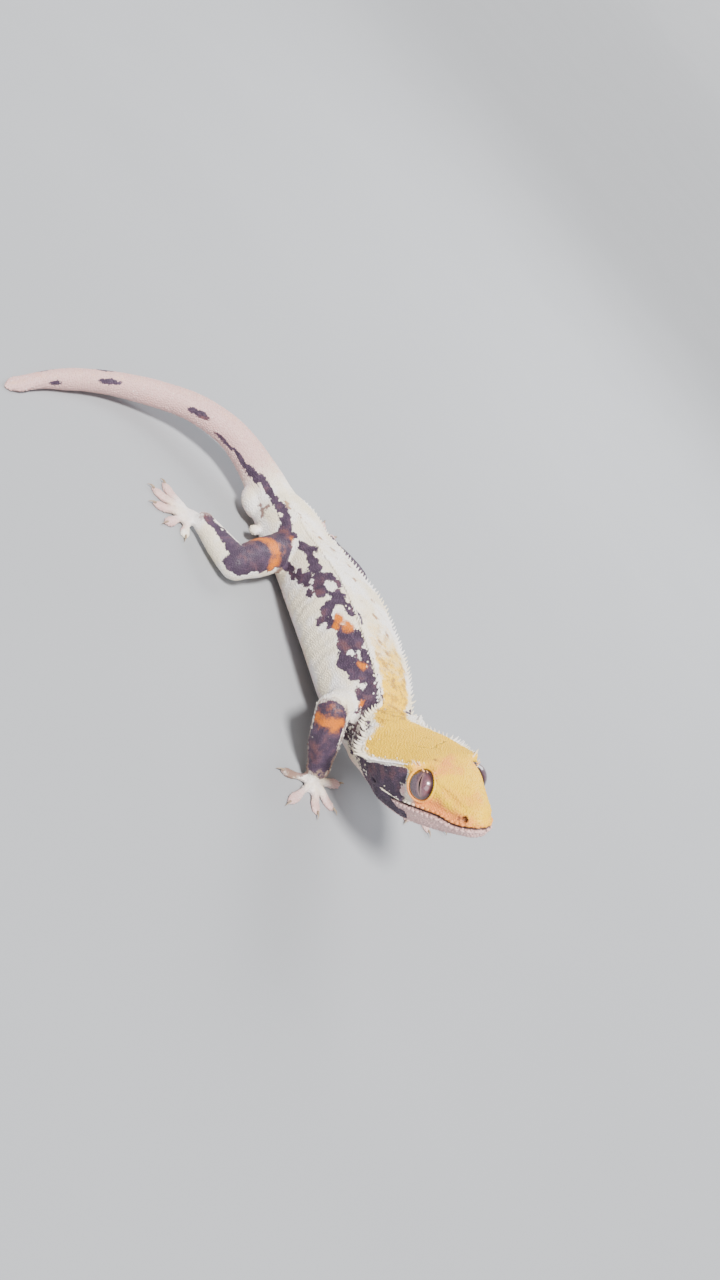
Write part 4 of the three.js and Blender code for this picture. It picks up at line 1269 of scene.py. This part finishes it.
class SkinSurface:
    """The finished skin, for finding what lies under a point."""

    def __init__(self):
        mesh = bpy.data.objects["skin"].data
        self.points = coordinates(mesh) / MM - SHIFT
        polygons = [tuple(p.vertices) for p in mesh.polygons]
        self.tree = BVHTree.FromPolygons(self.points.tolist(), polygons)
        uv = np.empty(len(mesh.loops) * 2)
        mesh.uv_layers["OFBake"].data.foreach_get("uv", uv)
        starts = np.array([p.loop_start for p in mesh.polygons])
        totals = np.array([p.loop_total for p in mesh.polygons])
        sums = np.add.reduceat(uv.reshape(-1, 2), starts, axis=0)
        self.uv = sums / totals[:, None]
        self.fields = {}
        for name, keys in FIELDS:
            flat = np.empty(len(mesh.vertices) * 4)
            mesh.attributes[name].data.foreach_get("color", flat)
            for key, column in zip(keys, flat.reshape(-1, 4).T):
                self.fields[key] = column
        self.corners = np.array([p[:3] for p in polygons])

    def under(self, points):
        """Nearest place, outward normal and face for each point."""
        hits = [self.tree.find_nearest(p) for p in points]
        return tuple(np.array([h[k] for h in hits]) for k in range(3))

    def fields_at(self, faces):
        """Marking and painted shade fields at faces."""
        return {k: v[self.corners[faces]].mean(1) for k, v in self.fields.items()}


def basis(up, toward):
    """Rotation matrices whose third axis is up and whose first leans toward a direction."""
    first = unit(toward - up * np.einsum("ij,ij->i", toward, up)[:, None])
    return np.stack([first, np.cross(up, first), up], -1)


def clear_of_eyes(local, margin):
    """Whether places in the head's frame keep clear of both eyes."""
    mirrored = np.stack([local[:, 0], np.abs(local[:, 1]), local[:, 2]], -1)
    return np.linalg.norm(mirrored - EYE, axis=1) > EYE_RADIUS + margin


GRANULE_TRIALS = 14000
GRANULE_STEP = 1.25


def granule_places(surface, draw):
    """Places of the raised pale granules: neck sides, elbows and the rear of the forearms."""
    points = surface.points[draw.permutation(len(surface.points))[:GRANULE_TRIALS]]
    a = anatomy(points)
    neck = (a["along"] > 56) & (a["on_limb"] < 0.4)
    neck &= (np.abs(a["around"] - 5) < 30) & (a["head"][:, 0] < -3)
    edge = (a["kinds"] < 2) & (a["on_limb"] > 0.6) & (a["step"] > 0.9) & (a["step"] < 2.0)
    edge &= np.abs(a["outer"] + 0.1) < 0.25
    kept = []
    for point in points[neck | edge]:
        if all(np.linalg.norm(point - other) > GRANULE_STEP for other in kept):
            kept.append(point)
    return np.array(kept)


def spine_template():
    """A curved, tapering spine of unit length along its third axis."""
    rings, sides = 6, 7
    tip_lean, buried = 0.84, 0.35
    points = []
    for t in np.linspace(-buried, 0.9, rings):
        width = (1 - max(t, 0)) ** 0.8 * (1 if t > -0.1 else 0.9)
        lean = tip_lean * max(t, 0) ** 2
        for k in range(sides):
            angle = 2 * math.pi * k / sides
            points.append((width * math.cos(angle) + lean, width * math.sin(angle), t))
    faces = ring_faces(rings, sides)
    points.append((tip_lean, 0, 1.0))
    top = (rings - 1) * sides
    faces += [(top + k, top + (k + 1) % sides, len(points) - 1) for k in range(sides)]
    faces.append(tuple(range(sides - 1, -1, -1)))
    return np.array(points, float), faces


BROW_LENGTHS = (0.4, 0.7, 0.85, 0.8, 0.6, 0.4)
MOUTH_SPINE = 0.95
LONG_SPINE = 0.9
FRONT_OF_BROW = 11
NARROWER_FROM = 3.5


def crest_row(sizes, side):
    """Root, direction and length of each spine along one crest of the head."""
    size = profile((-7, 1.5), (-3, sizes.crest_spine * 0.9), (0, sizes.crest_spine),
                   (3, sizes.crest_spine * 0.8), (8, 0.9), (15, 0.7))
    out = profile((-7, 0.55), (-2.5, 0.6), (0, 0.95), (4, 1))
    last, row = None, []
    for x in np.arange(11.4, -6.8, -0.05):
        place = head_place((x, side * CREST_WIDTH(x), CREST_HEIGHT(x)))
        if last is None or np.linalg.norm(place - last) > sizes.spine_step * 0.9:
            lean = HEAD_TURN @ (out(x) - 1.15, side * out(x), 0.22)
            row.append((place, lean, float(size(x))))
            last = place
    return row


def brow_row(sizes, side):
    """Root, direction and length of each spine over one eye."""
    row = []
    for i, x in enumerate(np.arange(12.2, 16.3, 0.8)):
        root = head_place((x, side * (CREST_WIDTH(x) - 0.7), CREST_HEIGHT(x) + 0.4))
        lean = HEAD_TURN @ (0.1 + 0.1 * (i - 2), side * 0.62, 0.76)
        row.append((root, lean, sizes.lash_spine * BROW_LENGTHS[i]))
    return row


def mouth_row(side):
    """Root, direction and length of each short spine at one corner of the mouth."""
    row = []
    for x in np.arange(4.2, 10.2, 0.95):
        root = head_place((x, side * LIP_WIDTH(x), MOUTH_HEIGHT(x) + 0.35))
        row.append((root, HEAD_TURN @ (-0.7, side, 0.15), MOUTH_SPINE))
    return row


def back_row(sizes, side):
    """Root, direction and length of each spine down one side of the back."""
    length = profile((-10, 0.4), (-4, 0.55), (6, 0.85), (40, 1), (57, 1.15),
                     (TRUNK + NECK_REACH, 1.35))
    ridge = SIDES * RIDGE_CORNER // HEAD_POINTS
    row = []
    for place in np.arange(-9, TRUNK + NECK_REACH - 0.5, sizes.spine_step):
        where = length_frame(place)
        ring = place_section(where, length_section(place, 0))
        root = ring[ridge if side > 0 else SIDES - ridge]
        lean = unit(root - where[0]) - 0.35 * where[1]
        row.append((root, lean, sizes.back_spine * float(length(place))))
    return row


def all_spines(sizes, surface, draw):
    """Roots, directions and lengths of the rows, small spines beside them, and the granules."""
    rows = []
    for side in (-1, 1):
        rows += crest_row(sizes, side) + brow_row(sizes, side)
        rows += mouth_row(side) + back_row(sizes, side)
    roots, leans, longs = (np.array(column) for column in zip(*rows))
    leans = unit(leans)
    groups = [(roots, leans, longs)]
    for _ in range(2):
        near, normal, _ = surface.under(roots + draw.normal(0, 0.7, roots.shape))
        short = longs * draw.uniform(0.14, 0.3, len(longs))
        groups.append((near, unit(leans * 0.55 + normal), short))
    near, normal, _ = surface.under(granule_places(surface, draw))
    backwards = unit(normal - 0.5 * NECK_START[1])
    groups.append((near, backwards, draw.uniform(0.28, 0.5, len(near))))
    roots, leans, longs = (np.concatenate(column) for column in zip(*groups))
    return roots, leans, longs * draw.uniform(0.85, 1.15, len(roots))


class GECKO_OT_spines(bpy.types.Operator):
    """Spines of the head's crests, the brows and both rows down the back"""

    bl_idname = "gecko.spines"
    bl_label = "Spines"

    def execute(self, context):
        sizes, colours = sizes_and_colours(context)
        draw = np.random.default_rng(sizes.seed)
        surface = SkinSurface()
        roots, leans, longs = all_spines(sizes, surface, draw)
        clear = clear_of_eyes(head_local(roots), 0.5) | (longs > LONG_SPINE)
        roots, leans, longs = roots[clear], leans[clear], longs[clear]
        leans = unit(leans + draw.normal(0, 0.1, leans.shape))
        near, _, faces = surface.under(roots)
        template, loops = spine_template()
        ahead = head_local(near)[:, 0]
        wide = (0.23 + 0.12 * longs) * np.where(ahead > NARROWER_FROM, 0.62, 1)
        toward = np.tile(-NECK_START[1], (len(roots), 1)) + draw.normal(0, 0.2, roots.shape)
        fields = surface.fields_at(faces)
        fields["dark"] = fields["dark"] * 0.1
        fields["gold"] = fields["gold"] * np.where(ahead > FRONT_OF_BROW, 0.45, 0.2)
        piece = stamp("spines", template, loops, near, basis(leans, toward),
                      np.stack([wide, wide, longs], -1), surface.uv[faces], fields,
                      hide_shader("gecko_spines", colours, False))
        return {"FINISHED"}


LID_RADIUS = 3.0
LID_THICKNESS = 0.24
LID_GAP = 0.16
LID_BEADS = 38


class GECKO_OT_lids(bpy.types.Operator):
    """Scaled rims round both eyes"""

    bl_idname = "gecko.lids"
    bl_label = "Lids"

    def execute(self, context):
        colours = context.scene.gecko_colours
        for name, side in (("right", -1), ("left", 1)):
            bpy.ops.object.select_all(action="DESELECT")
            bpy.ops.mesh.primitive_torus_add(major_radius=LID_RADIUS, minor_radius=LID_THICKNESS,
                                             major_segments=192, minor_segments=12)
            lid = context.active_object
            lid.name = f"lid_{name}"
            mesh = lid.data
            points = coordinates(mesh)
            turn = np.arctan2(points[:, 1], points[:, 0])
            round_it = np.stack([np.cos(turn), np.sin(turn), 0 * turn], -1)
            beads = 1 + 0.3 * np.abs(np.sin(turn * LID_BEADS / 2)) + 0.08 * np.sin(turn * 3)
            thick = (points - round_it * LID_RADIUS) * beads[:, None]
            ring = round_it[:, :2] * (np.array(EYE_APERTURE) + LID_GAP)
            reach = EYE_RADIUS + LID_GAP
            depth = np.sqrt(np.maximum(reach**2 - (ring**2).sum(1), 0.2))
            places = eye_place(np.column_stack([ring, depth]) + thick, side)
            put_coordinates(mesh, to_row(places))
            put_fields(mesh, markings(places))
            face_outwards(lid)
            mesh.materials.clear()
            mesh.materials.append(hide_shader(f"gecko_lid_{name}", colours, True))
            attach(lid, "root")
        return {"FINISHED"}


CLAW_RINGS = 9
CLAW_SIDES = 10
CLAW_RADIUS = 0.36
CLAW_SINKS = 0.7


def claw_points(toe, claw):
    """Points of one curved claw, ring by ring from inside the toe's end to its tip."""
    root, along, length, size, _ = toe
    across = np.array([-along[1], along[0], 0])
    points = []
    for t in np.linspace(0, 1, CLAW_RINGS):
        reach = length - CLAW_SINKS + (claw + 0.5) * t
        drop = 0.85 * size + 0.35 * math.sin(t * 2.2) - 0.75 * t * t
        centre = root + along * reach + (0, 0, max(drop, 0.12))
        radius = CLAW_RADIUS * size * (1 - t) ** 0.75 + 0.02
        for k in range(CLAW_SIDES):
            angle = 2 * math.pi * k / CLAW_SIDES
            points.append(centre + across * math.cos(angle) * radius * 0.8
                          + np.array([0, 0, 1]) * math.sin(angle) * radius)
    return points


class GECKO_OT_claws(bpy.types.Operator):
    """A curved claw at the end of every toe"""

    bl_idname = "gecko.claws"
    bl_label = "Claws"

    def execute(self, context):
        sizes, colours = sizes_and_colours(context)
        points, faces = [], []
        for toe in toe_list():
            base = len(points)
            points += claw_points(toe, sizes.claw)
            tip = len(points) - CLAW_SIDES
            faces += ring_faces(CLAW_RINGS, CLAW_SIDES, base)
            faces.append(tuple(base + k for k in range(CLAW_SIDES - 1, -1, -1)))
            faces.append(tuple(tip + k for k in range(CLAW_SIDES)))
        claws = new_object("claws", to_row(np.array(points)), faces)
        face_outwards(claws)
        s = Shader("gecko_claw", roughness=0.35)
        shaded = linear([c * 0.7 for c in colours.claw])
        s.set("Base Color", s.mix(s.noise(2400.0), shaded, linear(colours.claw)))
        claws.data.materials.append(s.material)
        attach(claws, "root")
        return {"FINISHED"}


def scale_template():
    """A low six-sided granule, a little longer than wide, its rear edge lifted."""
    points, faces = [], []
    for radius, height in ((1.0, -0.25), (0.8, 0.34)):
        for k in range(6):
            angle = 2 * math.pi * (k + 0.5) / 6
            points.append((radius * math.cos(angle), radius * math.sin(angle) * 0.92,
                           height + 0.1 * math.cos(angle)))
    points.append((0.05, 0, 0.5))
    for k in range(6):
        n = (k + 1) % 6
        faces.append((k, n, n + 6, k + 6))
        faces.append((k + 6, n + 6, 12))
    faces.append((5, 4, 3, 2, 1, 0))
    return np.array(points, float), faces


TRIAL_AREA = 0.05
COAT_LIMIT = 195000
SCALE_SLOTS = ("crown_skin", "crown_skin", "flank_skin", "flank_skin", "tail_skin", "limb_skin",
               "limb_skin")
FIELD_SPREAD = (("dark", 0.1), ("gold", 0.12), ("peach", 0.12), ("blush", 0.15))


def scatter(surface, draw):
    """Random places all over the skin, with the normal and the face of each."""
    mesh = bpy.data.objects["skin"].data
    mesh.calc_loop_triangles()
    corners = np.empty(len(mesh.loop_triangles) * 3, int)
    mesh.loop_triangles.foreach_get("vertices", corners)
    owners = np.empty(len(mesh.loop_triangles), int)
    mesh.loop_triangles.foreach_get("polygon_index", owners)
    p = surface.points[corners.reshape(-1, 3)]
    cross = np.cross(p[:, 1] - p[:, 0], p[:, 2] - p[:, 0])
    area = np.linalg.norm(cross, axis=1) / 2
    count = int(area.sum() / TRIAL_AREA)
    picks = draw.choice(len(area), count, p=area / area.sum())
    u, v = draw.random((2, count))
    flip = u + v > 1
    u, v = np.where(flip, 1 - u, u), np.where(flip, 1 - v, v)
    places = (p[picks, 0] + u[:, None] * (p[picks, 1] - p[picks, 0])
              + v[:, None] * (p[picks, 2] - p[picks, 0]))
    return places, unit(cross[picks]), owners[picks]


def free_places(places, a):
    """Which places may carry a scale: off the floor, the eyes, the nostrils and the mouth."""
    nostril = np.linalg.norm(np.abs(a["head"]) - np.abs(NOSTRIL), axis=1)
    free = (places[:, 2] > 0.25) & clear_of_eyes(a["head"], 0.15) & (nostril > 0.55)
    return free & ((mouth_line(*a["head"].T) < 0.4) | (a["on_head"] < 0.5))


def thin_out(places, step, free):
    """Numbers of the free places that stay, each clearing its own step around it."""
    tree = KDTree(len(places))
    for i, place in enumerate(places):
        tree.insert(place, i)
    tree.balance()
    alive, kept = free.copy(), []
    for i in range(len(places)):
        if alive[i]:
            kept.append(i)
            for _, j, _ in tree.find_range(places[i], step[i]):
                alive[j] = False
    return np.array(kept)


class GECKO_OT_scales(bpy.types.Operator):
    """Granular scales over the whole skin, smallest on the face and toes"""

    bl_idname = "gecko.scales"
    bl_label = "Scales"

    def execute(self, context):
        sizes, colours = sizes_and_colours(context)
        surface = SkinSurface()
        draw = np.random.default_rng(sizes.seed + 1)
        places, outward, owners = scatter(surface, draw)
        a = anatomy(places)
        step = scale_steps(a, sizes.scale_step)
        kept = thin_out(places, step, free_places(places, a))
        places, outward, step, owners = places[kept], outward[kept], step[kept], owners[kept]
        fields = surface.fields_at(owners)
        for key, spread in FIELD_SPREAD:
            fields[key] = fields[key] * draw.normal(1, spread, len(kept))
            fields[key] += draw.normal(0, 0.03, len(kept))
        uv = surface.uv[owners]
        toward = rearward(a, kept)
        turns = basis(outward, toward + draw.normal(0, 0.12, toward.shape))
        wide = step * 0.56
        scales = np.stack([wide * 1.08, wide, np.minimum(wide * 0.8, 0.26)], -1)
        template, loops = scale_template()
        material = hide_shader("gecko_scales", colours, False)
        regions = region_of(a, kept)
        rows, turned, sized = lip_rows()
        near, normal, faces = surface.under(rows)
        places = np.concatenate([places, near])
        turns = np.concatenate([turns, basis(normal, turned)])
        scales = np.concatenate([scales, sized])
        uv = np.concatenate([uv, surface.uv[faces]])
        regions = np.concatenate([regions, np.zeros(len(near), int)])
        lips = surface.fields_at(faces)
        # The lip plates carry no painted shade.
        fields = {key: np.concatenate([value, lips[key] * (key != "hollow")])
                  for key, value in fields.items()}
        for region, slot in enumerate(SCALE_SLOTS):
            mine = regions == region
            piece = stamp(f"scales_{region + 1}", template, loops, places[mine], turns[mine],
                          scales[mine], uv[mine], {k: f[mine] for k, f in fields.items()}, material)
            triangles = len(piece.data.loops) - 2 * len(piece.data.polygons)
            if triangles > COAT_LIMIT:
                raise RuntimeError(f"scales_{region + 1} has {triangles} triangles")
        return {"FINISHED"}


LIP_PLATE_STEP = 1.12
LIP_PLATE = (0.6, 0.36, 0.42)


def lip_rows():
    """Places, directions and sizes of the long plates along both lips."""
    places, toward, sizes = [], [], []
    for side in (-1, 1):
        for rise in (0.6, -0.65):
            for x in np.arange(8, 27.3, LIP_PLATE_STEP):
                places.append(head_place((x, side * LIP_WIDTH(x), MOUTH_HEIGHT(x) + rise)))
                ahead = (1.0, side * float(LIP_WIDTH(x + 0.4) - LIP_WIDTH(x - 0.4)) / 0.8, -0.05)
                toward.append(HEAD_TURN @ ahead)
                sizes.append(LIP_PLATE)
    return np.array(places), unit(np.array(toward)), np.array(sizes)


def scale_steps(a, step):
    """Distance between scales at each place."""
    face = a["on_head"] * ease(a["head"][:, 0], 2, 12)
    size = step * (1 + 0.25 * ease(-a["around"], 30, 60)) * (1 - 0.12 * a["on_limb"])
    return size * (1 - 0.15 * face) * (1 - 0.25 * ease(-a["toe"], 0, 0.5))


def rearward(a, kept):
    """Direction towards the tail at each kept place."""
    stations = a["along"][kept]
    forward = np.array([length_frame(float(np.clip(s, -TAIL, TRUNK + NECK_REACH)))[1]
                        for s in np.round(stations)])
    return -forward


def region_of(a, kept):
    """Which scale piece each kept place belongs to."""
    along, on_limb = a["along"][kept], a["on_limb"][kept]
    head, kinds = a["on_head"][kept], a["kinds"][kept]
    region = np.select([along > TRUNK - 2, along > 30, along > 4], [1, 2, 3], 4)
    region = np.where(head > 0.5, 0, region)
    return np.where(on_limb > 0.5, 5 + (kinds // 2), region)


# Stage in metres; the camera's place is in millimetres in the body's frame, and its axes point
# to the right and down in the picture and into it
FLOOR_SIDES = 96
FLOOR_RINGS = (0.05, 0.5, 2.0, 3.0)
WALL_BEND = 1.5
WALL_TOP = 5.0
LIGHTS = (("key", "SUN", (0.3, -0.45, 0.85), 0.2, 7.0, (1.0, 0.98, 0.95)),
          ("fill", "AREA", (0.45, -0.35, 0.25), 0.3, 1.2, (0.92, 0.95, 1.0)),
          ("rim", "AREA", (-0.2, 0.4, 0.4), 0.3, 2.6, (0.95, 0.97, 1.0)))
AIM = (0, 0, 0.01)
CAMERA_PLACE = (153.78, -251.43, 161.44)
CAMERA_RIGHT = (0.4016, 0.6012, 0.6909)
CAMERA_DOWN = (0.8318, 0.0762, -0.5498)
CAMERA_AHEAD = (-0.3831, 0.7955, -0.4695)
LENS = 36.56
SENSOR = 36.0


def add_floor():
    """A pale floor that bends up into a round wall far behind the gecko."""
    angle = 2 * math.pi * np.arange(FLOOR_SIDES) / FLOOR_SIDES
    steps = [(radius, 0) for radius in FLOOR_RINGS]
    for t in np.linspace(0.1, math.pi / 2, 14):
        steps.append((FLOOR_RINGS[-1] + WALL_BEND * math.sin(t), WALL_BEND * (1 - math.cos(t))))
    steps.append((FLOOR_RINGS[-1] + WALL_BEND, WALL_TOP))
    points = []
    for radius, height in steps:
        points += [(radius * math.cos(t), radius * math.sin(t), height) for t in angle]
    faces = [tuple(range(FLOOR_SIDES))] + ring_faces(len(steps), FLOOR_SIDES)
    floor = new_object("floor", points, faces)
    face_outwards(floor, inside=True)
    s = Shader("floor_paper", roughness=0.8, specular=0.2)
    tint = s.noise(14.0, 2.0)
    s.set("Base Color", s.mix(tint, (0.36, 0.37, 0.39, 1), (0.39, 0.40, 0.42, 1)))
    floor.data.materials.append(s.material)


def add_lights(scene):
    """The lights, each aimed at the gecko, and the soft light all round."""
    for name, kind, place, size, power, tint in LIGHTS:
        light = bpy.data.lights.new(name, kind)
        light.energy, light.color = power, tint
        setattr(light, "angle" if kind == "SUN" else "size", size)
        lamp = bpy.data.objects.new(name, light)
        lamp.location = place
        aim = Vector(AIM) - Vector(place)
        lamp.rotation_euler = aim.to_track_quat("-Z", "Y").to_euler()
        scene.collection.objects.link(lamp)
    world = bpy.data.worlds.new("studio")
    world.use_nodes = True
    background = world.node_tree.nodes["Background"].inputs
    background["Color"].default_value = (0.9, 0.94, 1.0, 1)
    background["Strength"].default_value = 0.5
    scene.world = world


def add_camera(scene):
    """The camera at the photo's place."""
    data = bpy.data.cameras.new("camera")
    data.lens, data.sensor_width, data.sensor_fit = LENS, SENSOR, "AUTO"
    data.clip_start, data.clip_end = 0.01, 10
    camera = bpy.data.objects.new("camera", data)
    scene.collection.objects.link(camera)
    axes = Matrix((CAMERA_RIGHT, [-c for c in CAMERA_DOWN], [-c for c in CAMERA_AHEAD]))
    place = Matrix.Translation(Vector(to_row(CAMERA_PLACE)))
    camera.matrix_world = place @ axes.transposed().to_4x4()
    scene.camera = camera


class GECKO_OT_stage(bpy.types.Operator):
    """Pale floor, soft lights and the camera"""

    bl_idname = "gecko.stage"
    bl_label = "Stage"

    def execute(self, context):
        add_floor()
        add_lights(context.scene)
        add_camera(context.scene)
        return {"FINISHED"}


OPERATORS = (GECKO_OT_skin, GECKO_OT_eyes, GECKO_OT_lids, GECKO_OT_spines, GECKO_OT_claws,
             GECKO_OT_scales, GECKO_OT_stage)


class GECKO_PT_panel(bpy.types.Panel):
    """Settings and pieces of the gecko"""

    bl_idname = "GECKO_PT_panel"
    bl_label = "Crested gecko"
    bl_space_type = "VIEW_3D"
    bl_region_type = "UI"
    bl_category = "Gecko"

    def draw(self, context):
        for group in sizes_and_colours(context):
            for name in group.__annotations__:
                self.layout.prop(group, name)
        for operator in OPERATORS:
            self.layout.operator(operator.bl_idname)


CLASSES = (GeckoSizes, GeckoColours, *OPERATORS, GECKO_PT_panel)


def register():
    """Adds the settings, operators and panel."""
    for cls in CLASSES:
        bpy.utils.register_class(cls)
    bpy.types.Scene.gecko_sizes = PointerProperty(type=GeckoSizes)
    bpy.types.Scene.gecko_colours = PointerProperty(type=GeckoColours)


def unregister():
    """Takes them away again."""
    del bpy.types.Scene.gecko_colours
    del bpy.types.Scene.gecko_sizes
    for cls in reversed(CLASSES):
        bpy.utils.unregister_class(cls)


def main():
    """Makes every piece and the stage."""
    register()
    for operator in OPERATORS:
        group, name = operator.bl_idname.split(".")
        getattr(getattr(bpy.ops, group), name)()


if __name__ == "__main__":
    main()
